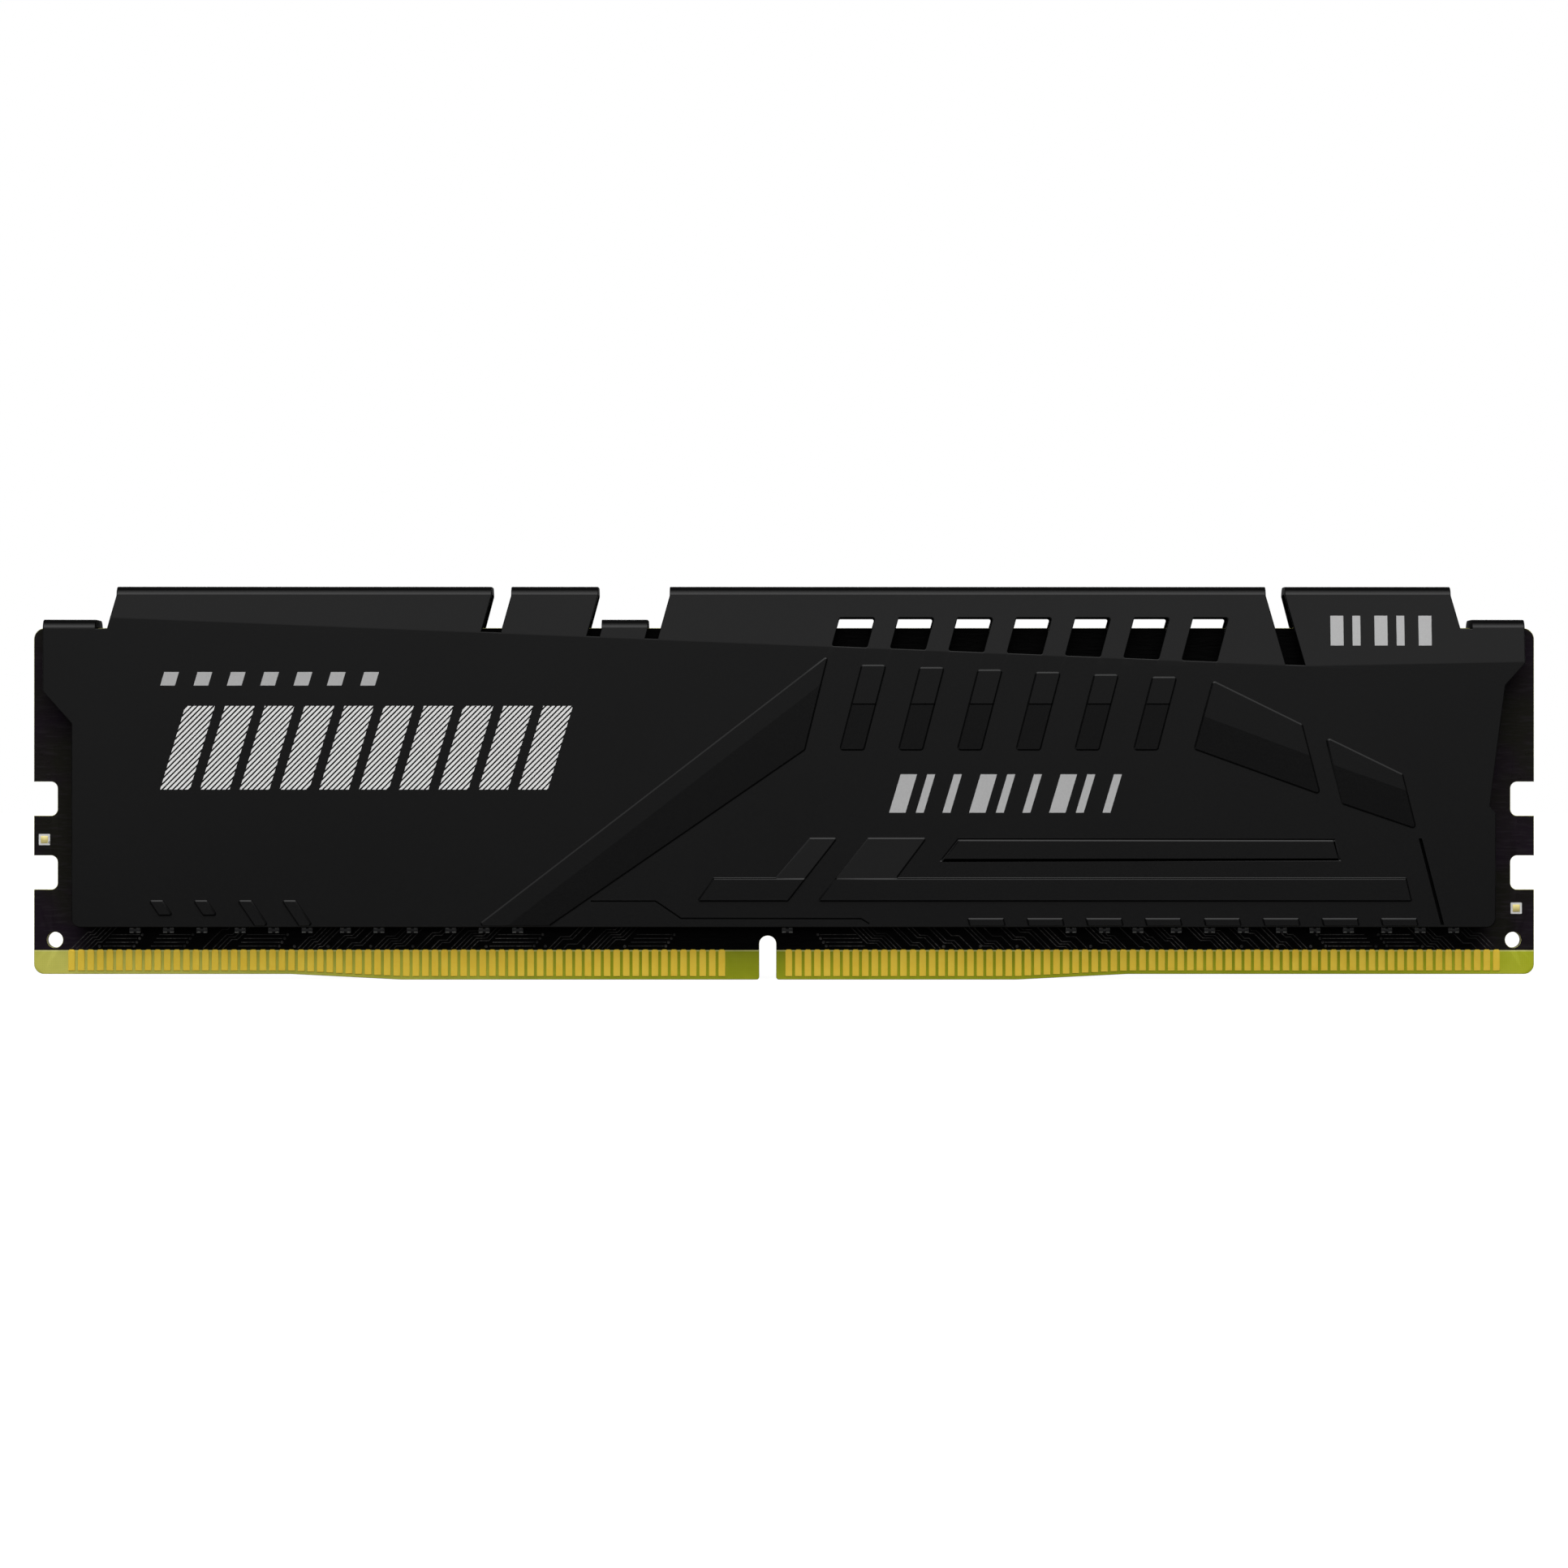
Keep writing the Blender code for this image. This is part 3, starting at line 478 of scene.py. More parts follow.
def coated_metal():
    """Black satin coating on stamped aluminium: fine grain, slight mottling."""
    look = Look("black_satin_coating", (0.0025, 0.0025, 0.0026), 0.22, specular=0.2)
    grain = look.noise(9, detail=4)
    mottle = look.noise(0.09, detail=2)
    dark = look.blend(grain, (0.0018, 0.0018, 0.0019), (0.0028, 0.0028, 0.0029), 0.3, 0.7)
    light = look.blend(grain, (0.0022, 0.0022, 0.0023), (0.0033, 0.0033, 0.0034), 0.3, 0.7)
    look.colour(look.blend(mottle, dark, light, 0.35, 0.65))
    look.roughness(grain, 0.2, 0.26)
    look.bump(grain, 0.0006)
    look.bump(look.noise(2.2, detail=2), 0.0008)
    return look.material


def painted_shade_metal():
    """Dull black on the spreader's inner side and on the walls of its cuts, grooves and panels, darker than
    the coating as painted shade where little light reaches.
    """
    dark, light = (0.001, 0.001, 0.001), (0.0016, 0.0016, 0.0017)
    return grained("painted_shade_black", dark, light, 0.6, 7, 0.001, (0.55, 0.7), specular=0.04)


def solder_mask():
    """Black mask over laminate: tinted and rippled at the open ends, and nearly black under the spreader,
    which is painted shade from the spreader.
    """
    look = Look("black_solder_mask", (0.012, 0.01, 0.013), 0.4, specular=0.025)
    ripple = look.noise((0.6, 0.6, 4.5), detail=3)
    tint = look.noise(0.15)
    plain = look.blend(tint, (0.0115, 0.011, 0.0085), (0.013, 0.0085, 0.014), 0.4, 0.6)
    rippled = look.blend(ripple, plain, (0.026, 0.022, 0.026), 0.5, 0.75, 0, 0.5)
    outside_painted_shade = look.operate("ADD", look.along("X", 61, 63), look.along("X", -61, -63))
    # Under the spreader the colour is nearly black: painted shade cast by the spreader over the board.
    look.colour(look.blend(outside_painted_shade, (0.0012, 0.0011, 0.0012), rippled))
    look.roughness(look.noise(3), 0.35, 0.45)
    look.bump(ripple, 0.03)
    look.bump(look.noise(6), 0.004)
    return look.material


def mask_over_copper():
    """The same mask where it covers a trace: it is thinner there and looks paler, partly from the copper
    under it and partly as a painted highlight on the traces' edges that fades in and out.
    """
    look = Look("mask_over_copper", (0.03, 0.028, 0.032), 0.35, specular=0.2)
    painted_highlight_spots = look.ranged(look.noise(0.6), 0.4, 0.62)
    grain = look.ranged(look.noise(5), 0.35, 0.65)
    faint = look.blend(grain, (0.0015, 0.0015, 0.0015), (0.012, 0.0115, 0.012))
    # The pale colour is partly copper under thin mask and partly a painted highlight on the traces' edges,
    # shown in patches by a noise.
    copper_tone_and_highlight = look.blend(grain, (0.012, 0.0115, 0.011), (0.1, 0.095, 0.09))
    look.colour(look.blend(painted_highlight_spots, faint, copper_tone_and_highlight))
    look.bump(look.noise(6), 0.003)
    return look.material


def bare_laminate():
    """Glass-fibre laminate where the mask ends: olive, paler at the ends and just below the mask."""
    look = Look("bare_laminate", (0.3, 0.33, 0.02), 0.42, specular=0.15)
    weave = look.operate("MULTIPLY", look.waves(1.6, "X", 1.5), look.waves(1.6, "Z", 1.5))
    cloud = look.ranged(look.noise(0.35), 0.3, 0.7)
    middle = look.blend(cloud, (0.3, 0.34, 0.004), (0.38, 0.41, 0.01))
    left = look.blend(cloud, (0.55, 0.53, 0.09), (0.66, 0.63, 0.13))
    right = look.blend(cloud, (0.42, 0.46, 0.01), (0.5, 0.53, 0.03))
    plain = look.blend(look.along("X", -15, -64), middle, left)
    plain = look.blend(look.along("X", 52, 64), plain, right)
    plain = look.blend(look.along("Z", MASK_FOOT - 0.12, MASK_FOOT - 0.02), plain, (0.75, 0.75, 0.25))
    look.colour(look.blend(weave, plain, (0.5, 0.55, 0.1), 0, 1, 0, 0.12))
    look.roughness(look.noise(2), 0.36, 0.5)
    look.bump(weave, 0.004)
    return look.material


def cut_laminate():
    """The routed edge of the board: resin and glass in thin layers, a dark copper plane between some."""
    look = Look("cut_laminate_edge", (0.2, 0.17, 0.05), 0.7)
    layers = look.waves((1, 2.4, 1), "Y", 0.4)
    fibre = look.noise((7, 2, 7))
    dry = look.blend(fibre, (0.13, 0.12, 0.03), (0.26, 0.23, 0.09), 0.3, 0.7)
    look.colour(look.blend(layers, dry, (0.05, 0.035, 0.01), 0.82, 1.0))
    look.bump(fibre, 0.012)
    return look.material


def gold_plating():
    """Slightly cloudy gold on the contacts, with fine upright brush marks."""
    look = Look("gold_plating", (1.0, 0.7, 0.07), 0.5, metallic=0.45)
    look.colour(look.blend(look.noise(0.8), (0.97, 0.66, 0.045), (1.0, 0.72, 0.065), 0.3, 0.7))
    look.roughness(look.noise((14, 14, 1.6)), 0.44, 0.56)
    look.bump(look.noise((24, 24, 1.2)), 0.0012)
    return look.material


def pale_gold():
    look = Look("thin_gold_plating", (0.9, 0.78, 0.32), 0.5, metallic=0.6)
    look.colour(look.blend(look.noise(2), (0.85, 0.72, 0.25), (0.95, 0.83, 0.38), 0.3, 0.7))
    look.bump(look.noise(9), 0.002)
    return look.material


def moulded_resin():
    dark, light = (0.014, 0.014, 0.015), (0.03, 0.03, 0.031)
    gloss, limits = (0.48, 0.62), (0.35, 0.65)
    return grained("moulded_chip_resin", dark, light, 0.55, 14, 0.006, gloss, 4, limits)


def pressed_ferrite():
    look = Look("pressed_ferrite", (0.09, 0.09, 0.095), 0.65)
    grit = look.cells(11)
    look.colour(look.blend(grit, (0.05, 0.05, 0.055), (0.14, 0.14, 0.145), 0.1, 0.7))
    look.bump(grit, 0.012)
    return look.material


def fired_ceramic():
    dark, light = (0.25, 0.16, 0.09), (0.36, 0.25, 0.15)
    return grained("tan_capacitor_ceramic", dark, light, 0.42, 6, 0.004)


def resistor_body():
    dark, light = (0.007, 0.007, 0.009), (0.016, 0.016, 0.018)
    return grained("resistor_overglaze", dark, light, 0.3, 9, 0.003)


def tin_with_painted_shade():
    """Tin on terminals and solder, darkened well below bright tin as painted shade from the spreader over the
    parts.
    """
    # These tin colours are painted darker than bright tin: painted shade under the spreader.
    dark, light = (0.15, 0.15, 0.145), (0.28, 0.28, 0.27)
    return grained("tin_with_painted_shade", dark, light, 0.35, 7, 0.006, (0.27, 0.45), metallic=1.0)


def pad_silicone():
    look = Look("filled_silicone_pad", (0.3, 0.33, 0.38), 0.85, specular=0.3)
    speck = look.noise(4.5, detail=4)
    cloud = look.noise(0.5)
    plain = look.blend(cloud, (0.24, 0.27, 0.31), (0.33, 0.36, 0.41), 0.3, 0.7)
    look.colour(look.blend(speck, plain, (0.45, 0.47, 0.5), 0.58, 0.7))
    look.bump(speck, 0.02)
    return look.material


def label_film():
    dark, light = (0.74, 0.74, 0.73), (0.82, 0.82, 0.81)
    return grained("label_film", dark, light, 0.45, (3, 3, 8), 0.004, (0.38, 0.52), 4)


def grey_ink():
    dark, light = (0.5, 0.5, 0.5), (0.55, 0.55, 0.55)
    return grained("light_grey_ink", dark, light, 0.5, 8, 0.002)


def silver_ink():
    dark, light = (0.96, 0.96, 0.95), (1.0, 1.0, 0.99)
    return grained("silver_ink", dark, light, 0.5, 8, 0.002, metallic=0.1)


# ---- Board ----


def edge_height(x):
    """Height of the board's contact edge, which is lowest in the middle and rises towards the ends."""
    outside = max(EDGE_LOW[0] - x, x - EDGE_LOW[1], 0)
    return EDGE_RISE * min(outside / EDGE_RISE_RUN, 1)


def latch_corners(side):
    end, root = side * BOARD_END, side * (BOARD_END - LATCH_DEPTH)
    corners = []
    for floor in LATCH_FLOORS:
        corners += [(end, floor, 0), (root, floor, LATCH_RADIUS)]
        corners += [(root, floor + LATCH_HEIGHT, LATCH_RADIUS), (end, floor + LATCH_HEIGHT, 0)]
    return corners


def board_outline(masked=False):
    """The board's outline, or the outline of its mask, which ends above the contacts."""
    left, right = KEY_CENTRE - KEY_WIDTH / 2, KEY_CENTRE + KEY_WIDTH / 2
    bottom, radius = (MASK_FOOT, 0) if masked else (EDGE_RISE, BOARD_BOTTOM_RADIUS)
    corners = [(-BOARD_END, bottom, radius)] + latch_corners(-1)
    corners += [(-BOARD_END, BOARD.top, BOARD_TOP_RADIUS), (BOARD_END, BOARD.top, BOARD_TOP_RADIUS)]
    corners += [*reversed(latch_corners(1)), (BOARD_END, bottom, radius)]
    key_radius = KEY_WIDTH * 0.49
    key = [(right, KEY_DEPTH, key_radius), (left, KEY_DEPTH, key_radius)]
    if masked:
        return rounded(corners + [(right, MASK_FOOT, 0), *key, (left, MASK_FOOT, 0)], 8)
    low_left, low_right = EDGE_LOW
    corners += [(low_right + EDGE_RISE_RUN, EDGE_RISE, 0), (low_right, 0, 0), (right, 0, KEY_MOUTH_RADIUS)]
    corners += [*key, (left, 0, KEY_MOUTH_RADIUS), (low_left, 0, 0), (low_left - EDGE_RISE_RUN, EDGE_RISE, 0)]
    return rounded(corners, 8)


def tooling_holes(margin=0.0):
    in_from_end, height, radius = TOOLING_HOLE
    return [circle(side * (BOARD_END - in_from_end), height, radius + margin) for side in (-1, 1)]


def add_trace(bm, points):
    """A trace: a low ridge with sloping sides along a line."""
    level = BOARD_FACE - PRINT_SINK
    add_solid(bm, [stroke(points, TRACE_HALF_WIDTH)], [(0, level), (TRACE_SLOPE, level + TRACE_HEIGHT)])


def add_via(bm, x, z, radius):
    """A via under the mask: a low ring with a dimple."""
    level = BOARD_FACE - PRINT_SINK
    profile = [(0, 0), (0.3, 1), (0.5, 1), (0.9, 0.1)]
    steps = [(step * radius, level + share * VIA_HEIGHT) for step, share in profile]
    add_solid(bm, [circle(x, z, radius, 14)], steps)


def contact_centres(node):
    place = Place(node)
    count = round((place.width - CONTACT_WIDTH) / CONTACT_PITCH) + 1
    return [place.left + CONTACT_WIDTH / 2 + CONTACT_PITCH * i for i in range(count)]


def add_bundle(bm, x, lean, draw):
    """Five parallel traces that leave the contacts at 45 degrees and jog sideways. Returns their width."""
    foot, top, pitch = MASK_FOOT + 0.16, BUNDLE_TOP, BUNDLE_PITCH
    jog = draw.uniform(0.25, 0.9)
    first = draw.uniform(1.0, 1.7)
    for number in range(5):
        rise = first - pitch * number
        start = x + lean * 2 * pitch * number
        points = [(start, foot), (start + lean * rise, foot + rise)]
        points.append((points[-1][0] + lean * jog, foot + rise))
        points.append((points[-1][0] + lean * (top - foot - rise), top))
        if draw.random() < TRACES_KEPT:
            add_trace(bm, points)
    return 10 * pitch + jog


def add_level_bundle(bm, x, lean, draw):
    """Four long level traces above the contacts, which end at vias."""
    length = draw.uniform(2.4, 4.2)
    for number in range(4):
        height, shift = LEVEL_FOOT + LEVEL_PITCH * number, 0.25 * number
        add_trace(bm, [(x + lean * shift, height), (x + lean * (shift + length), height)])
        add_via(bm, x + lean * (shift + length + 0.2), height, 0.14)
    return length + 1.2


def add_traces(bm, centres, lean, draw):
    """Traces above a row of contacts. They lean towards the middle of the board."""
    start, end = (centres[0], centres[-1]) if lean > 0 else (centres[-1], centres[0])
    x = start
    while (end - x) * lean > 4:
        add = add_level_bundle if draw.random() < LEVEL_CHANCE else add_bundle
        x += lean * (add(bm, x, lean, draw) + draw.uniform(0.2, 0.9))
        if draw.random() < 0.5:
            add_via(bm, x - lean * 0.3, 2.95, 0.15)


def add_end_vias(bm):
    """Vias on the bare ends of the board, beside the latch notches."""
    for side in (-1, 1):
        for in_from_end, height, radius in END_VIAS:
            add_via(bm, side * (BOARD_END - in_from_end), height, radius)


def make_board(looks):
    bm = solid([board_outline(), *tooling_holes()], eased(-CORE_FACE, CORE_FACE, 0.05, steps=2, both=True))
    core = write_piece("board_core", bm, looks["laminate"], ["circuit_board"], sharp=50)
    for polygon in core.data.polygons:
        polygon.material_index = 0 if abs(polygon.normal.y) > 0.7 else 1
    outlines = [inset(board_outline(masked=True), MASK_INSET), *tooling_holes(MASK_INSET)]
    for back, place in ((False, "front"), (True, "back")):
        draw = random.Random(TRACE_SEED + back)
        bm = solid(outlines, eased(CORE_FACE, BOARD_FACE, 0.015, steps=2))
        add_end_vias(bm)
        write_piece(f"solder_mask_{place}", bm, looks["mask"], back=back)
        bm = bmesh.new()
        for side, lean in (("left", 1), ("right", -1)):
            add_traces(bm, contact_centres(f"contacts_{place}_{side}"), lean, draw)
        write_piece(f"covered_traces_{place}", bm, looks["covered"], back=back)


def make_contacts(looks):
    """Gold pads, each with rounded upper corners, whose feet follow the rising edge of the board."""
    for place, back in (("front", False), ("back", True)):
        for side in ("left", "right"):
            node = f"contacts_{place}_{side}"
            far = Place(node).far
            bm = bmesh.new()
            for x in contact_centres(node):
                foot = edge_height(x) + CONTACT_FOOT_MARGIN
                left, right = x - CONTACT_WIDTH / 2, x + CONTACT_WIDTH / 2
                corners = [(left, foot, 0.03), (right, foot, 0.03)]
                corners += [(right, CONTACT_TOP, CONTACT_TOP_RADIUS), (left, CONTACT_TOP, CONTACT_TOP_RADIUS)]
                add_solid(bm, [rounded(corners, 4)], eased(CORE_FACE - 0.01, far, 0.022))
            write_piece(f"edge_{node}", bm, looks["gold"], [node], sharp=60, back=back)


def make_camera_targets(looks):
    """A gold square in a light square of bare board."""
    for side in ("left", "right"):
        node = f"camera_target_{side}"
        place = Place(node)
        profile = eased(BOARD_FACE - 0.01, place.near + 0.006, 0.006, steps=1)
        flat_piece(f"{node}_frame", [place.outline(0.06)], profile, looks["silkscreen"], [node])
        square = rectangle(place.x, place.z, place.width * 0.64, place.height * 0.64, 0.05)
        profile = eased(BOARD_FACE, place.far, 0.01, steps=2)
        flat_piece(f"{node}_pad", [square], profile, looks["pale_gold"], [node])


# ---- Components ----


def add_block(bm, x, z, width, height, near, far, radius=0.0, edge=0.03):
    outline = rectangle(x, z, width, height, radius)
    add_solid(bm, [outline], eased(near, far, edge, steps=2))


def add_balls(bm, place, near, far):
    """Solder balls under a memory chip, in two blocks of three columns."""
    profile = ((0.07, near), (0, near + (far - near) * 0.3), (0, near + (far - near) * 0.7), (0.07, far))
    for block in (-1, 1):
        for column in range(3):
            x = place.x + block * (BALL_BLOCK + BALL_PITCH * column)
            for row in range(BALL_ROWS):
                z = place.z + BALL_PITCH * (row - BALL_ROWS // 2)
                rings = [ring(bm, circle(x, z, BALL_RADIUS - step, 8), level) for step, level in profile]
                bridge(bm, rings)
                bm.faces.new(rings[0])
                bm.faces.new(rings[-1])


def chip_bm(place, radius=0.12, edge=0.08):
    """A moulded package with a dimple that marks its first corner."""
    bm = bmesh.new()
    rings = lofted(bm, place.outline(radius), eased(place.near, place.far, edge, both=True))
    fill(bm, loop_edges(bm, rings[0]))
    spot = circle(place.left + 0.9, place.top - 0.9, 0.3, 20)
    drops = ((0, 0), (0.06, 0.03), (0.1, 0.04))
    dimple = lofted(bm, spot, [(step, place.far - drop) for step, drop in drops])
    fill(bm, loop_edges(bm, dimple[-1]))
    fill(bm, loop_edges(bm, rings[-1]) + loop_edges(bm, dimple[0]))
    return bm


def make_memory_chips(looks):
    balls = bmesh.new()
    for number in range(1, 9):
        node = f"memory_chip_{number}"
        place = Place(node)
        write_piece(f"dram_package_{number}", chip_bm(place), looks["resin"], [node])
        add_balls(balls, place, BOARD_FACE, place.near)
    write_piece("solder_balls", balls, looks["tin"])


def make_flat_package(name, node, looks, leads, lead_width):
    """A leadless package with tinned pads around its foot."""
    place = Place(node)
    bm = chip_bm(place, radius=0.08, edge=0.05)
    spots = bmesh.new()
    for i in range(leads):
        aside = (i - (leads - 1) / 2) * 2 * lead_width
        for side in (-1, 1):
            x, z = place.x + side * place.width / 2, place.z + side * place.height / 2
            add_block(spots, x, place.z + aside, 0.3, lead_width, BOARD_FACE, place.near + 0.12, edge=0.02)
            add_block(spots, place.x + aside, z, lead_width, 0.3, BOARD_FACE, place.near + 0.12, edge=0.02)
    write_piece(name, bm, looks["resin"], [node])
    write_piece(f"{name}_pads", spots, looks["tin"])


def make_power_parts(looks):
    """The power controller, the hub, the inductors and the bulk capacitors in the middle bay."""
    make_flat_package("power_controller_package", "power_management_chip", looks, 8, 0.25)
    make_flat_package("hub_package", "hub_chip", looks, 3, 0.25)
    for number in range(1, 4):
        node = f"power_inductor_{number}"
        place = Place(node)
        profile = eased(place.near + 0.05, place.far, 0.25, steps=4)
        flat_piece(f"inductor_body_{number}", [place.outline(0.35)], profile, looks["ferrite"], [node])
        ends = bmesh.new()
        for side in (-1, 1):
            x = place.x + side * place.width * 0.42
            add_block(ends, x, place.z, place.width * 0.18, place.height * 0.8, BOARD_FACE, place.near + 0.2)
        write_piece(f"inductor_ends_{number}", ends, looks["tin"])
    for number in range(1, 7):
        node = f"bulk_capacitor_{number}"
        place = Place(node)
        outline = place.outline(0.04, -0.06, -0.3)
        profile = eased(place.near + 0.04, place.far - 0.03, 0.05, steps=2)
        flat_piece(f"capacitor_body_{number}", [outline], profile, looks["ceramic"], [node])
        ends = bmesh.new()
        for side in (-1, 1):
            z = place.z + side * (place.height / 2 - 0.23)
            add_block(ends, place.x, z, place.width, 0.46, BOARD_FACE, place.far, radius=0.08, edge=0.08)
        write_piece(f"capacitor_ends_{number}", ends, looks["tin"])


def make_resistors(looks):
    """Two-element resistor arrays: a glazed body with four tinned terminals along its long sides."""
    for number in range(1, 26):
        node = f"edge_resistor_{number:02d}"
        place = Place(node)
        body = bmesh.new()
        add_block(body, place.x, place.z, place.width, place.height - 0.06, place.near, place.far - 0.02)
        write_piece(f"resistor_body_{number:02d}", body, looks["glaze"], [node])
        ends = bmesh.new()
        for side in (-1, 1):
            for row in (-1, 1):
                x, z = place.x + side * 0.3, place.z + row * (place.height / 2 - 0.075)
                add_block(ends, x, z, 0.34, 0.15, BOARD_FACE, place.far, radius=0.03)
        write_piece(f"resistor_ends_{number:02d}", ends, looks["tin"])


def make_pads(looks):
    """Thermal pads: soft slabs with rounded, slightly uneven edges."""
    for node in ("front_left", "front_right", "power", "back_left", "back_right"):
        place = Place(f"thermal_pad_{node}")
        draw = random.Random(node)
        outline = place.outline(0.5)
        long_side = []
        for a, b in zip(outline, outline[1:] + outline[:1]):
            cuts = max(int((b - a).length / 1.5), 1)
            long_side += [a.lerp(b, step / cuts) for step in range(cuts)]
        uneven = [point + Vector([draw.uniform(-0.05, 0.05) for _ in range(2)]) for point in long_side]
        bm = solid([inset(uneven, 0.05)], eased(place.near, place.far, 0.12, both=True))
        write_piece(f"soft_pad_{node}", bm, looks["silicone"], [f"thermal_pad_{node}"], back=place.back)


# ---- Heat spreader ----

REST_LENGTH = (BEND_RISE - KNEE_LENGTH * math.sin(KNEE) / KNEE) * (math.pi / 2 - KNEE) / (1 - math.sin(KNEE))
BEND_LENGTH = KNEE_LENGTH + REST_LENGTH


def crease_height(x):
    apex, height = BAND_APEX
    return height + max(BAND_RISES[0] * (apex - x), BAND_RISES[1] * (x - apex))


def upright_depth(x, length):
    """Depth of the outer face below the top bend. The crease is a narrow, smooth bend."""
    above = length - crease_height(x)
    if abs(above) < CREASE_HALF:
        above = (above + CREASE_HALF) ** 2 / (4 * CREASE_HALF)
    return SHEET_OUTER - BAND_SLOPE * max(above, 0)


def outer_bend(along):
    """How far the outer face has risen and run towards the seam, this far along the top bend."""
    knee_radius = KNEE_LENGTH / KNEE
    turn = min(along / knee_radius, KNEE)
    rise, run = knee_radius * math.sin(turn), knee_radius * (1 - math.cos(turn))
    if along > KNEE_LENGTH:
        radius = REST_LENGTH / (math.pi / 2 - KNEE)
        turn = KNEE + (along - KNEE_LENGTH) / radius
        rise += radius * (math.sin(turn) - math.sin(KNEE))
        run += radius * (math.cos(KNEE) - math.cos(turn))
    return rise, run


BEND_RUN = outer_bend(BEND_LENGTH)[1]


def flange_end(x, top):
    start = top - BEND_RISE
    return start + BEND_LENGTH + upright_depth(x, start) - BEND_RUN - SEAM_HALF


def folded(x, length, level, top):
    """Depth and height of a point of the sheet, whose level is 0 outside and -SHEET inside."""
    start = top - BEND_RISE
    if length <= start:
        return upright_depth(x, length) + level, length
    depth = upright_depth(x, start)
    along = min(length - start, BEND_LENGTH)
    rise, run = outer_bend(along)
    turn = math.pi / 2 * along / BEND_LENGTH
    inner_rise, inner_run = INNER_BEND_RADIUS * math.sin(turn), INNER_BEND_RADIUS * (1 - math.cos(turn))
    outer = Vector((depth - run, start + rise))
    inner = Vector((depth - SHEET - inner_run, start + inner_rise))
    beyond = length - start - BEND_LENGTH
    if beyond > 0:
        share = min(beyond / (flange_end(x, top) - start - BEND_LENGTH), 1)
        outer.x += (SEAM_HALF - outer.x) * share
        inner.x += (SEAM_HALF - inner.x) * share
    return tuple(outer.lerp(inner, -level / SHEET))


def upstands():
    """Tabs and walls along the top, left to right: (foot, lean, floor) of each side, and the top height."""

    def cut_side(foot, lean):
        return foot, lean, crease_height(foot) + SILL

    tab_top = BOARD.top + 0.02 + SHEET
    root = tab_top - BEND_RISE
    end = SPREADER.right
    tab_foot = end - END_TAB_LENGTH
    wall_foot = tab_foot - END_GAP
    left, right = MIDDLE_TAB
    return (
        ((-end, 0, root), (-tab_foot, 0, root), tab_top),
        ((-wall_foot, CUT_LEAN, root), cut_side(FIRST_CUT[0], CUT_LEAN), SPREADER.top),
        (cut_side(FIRST_CUT[1], CUT_LEAN), cut_side(left - MIDDLE_TAB_GAP, CUT_LEAN), SPREADER.top),
        (cut_side(left, CUT_LEAN), cut_side(right, CUT_LEAN), tab_top),
        (cut_side(right + MIDDLE_TAB_GAP, CUT_LEAN), cut_side(SECOND_CUT[0], -CUT_LEAN), SPREADER.top),
        (cut_side(SECOND_CUT[1], -CUT_LEAN), (wall_foot, -CUT_LEAN, root), SPREADER.top),
        ((tab_foot, 0, root), (end, 0, root), tab_top),
    )


UPSTANDS = upstands()


def side_at(side, top, length):
    foot, lean, floor = side
    return foot + lean * (min(length, top - BEND_RISE) - floor)


def top_at(x, length):
    """Top height of the tab or wall that a point of the flat sheet belongs to."""
    for left, right, top in UPSTANDS:
        if side_at(left, top, length) - SIDE_SLACK < x < side_at(right, top, length) + SIDE_SLACK:
            return top
    return SPREADER.top


def sheet_outline():
    bottom = SPREADER.bottom
    points = rounded(
        [
            (RIGHT_STEPS[-1][0], bottom + SPREADER_CORNER_RADIUS * 3, 0),
            (RIGHT_STEPS[-1][0], bottom, SPREADER_CORNER_RADIUS),
            (LEFT_STEP[0][0], bottom, SPREADER_CORNER_RADIUS),
            (*LEFT_STEP[0], 0),
        ],
        8,
    )
    points.append(Vector(LEFT_STEP[1]))
    for left, right, top in UPSTANDS:
        start = top - BEND_RISE
        rising = [(left[0], left[2]), (side_at(left, top, start), start)]
        rising.append((rising[-1][0], flange_end(rising[-1][0], top)))
        falling = [(right[0], right[2]), (side_at(right, top, start), start)]
        falling.append((falling[-1][0], flange_end(falling[-1][0], top)))
        points += [Vector(point) for point in rising + falling[::-1]]
    points += [Vector(point) for point in RIGHT_STEPS]
    return points


def window_outline(number):
    left = WINDOW_FIRST + WINDOW_PITCH * number
    corners = [(left, WINDOW_TOP, WINDOW_RADIUS), (left + WINDOW_WIDTH, WINDOW_TOP, WINDOW_RADIUS)]
    for x in (left + WINDOW_WIDTH, left):
        drop = (WINDOW_TOP - crease_height(x) - SILL) / (1 + BAND_RISES[0] * CUT_LEAN)
        corners.append((x - CUT_LEAN * drop, WINDOW_TOP - drop, WINDOW_RADIUS))
    return rounded(corners, 4)


def split(bm, geometry, point, direction):
    bmesh.ops.bisect_plane(bm, geom=geometry, dist=1e-6, plane_co=(*point, 0), plane_no=(*direction, 0))


def between(stops, distance):
    """The share at a distance, read from a list of (distance, share) that runs downwards."""
    if distance >= stops[0][0]:
        return stops[0][1]
    for (high, first), (low, second) in zip(stops, stops[1:]):
        if distance >= low:
            return second + (first - second) * (distance - low) / (high - low)
    return stops[-1][1]


def joined(start):
    """All vertices that edges join to these."""
    seen, todo = set(), list(start)
    while todo:
        vertex = todo.pop()
        if vertex not in seen:
            seen.add(vertex)
            todo += [other for edge in vertex.link_edges for other in edge.verts]
    return seen


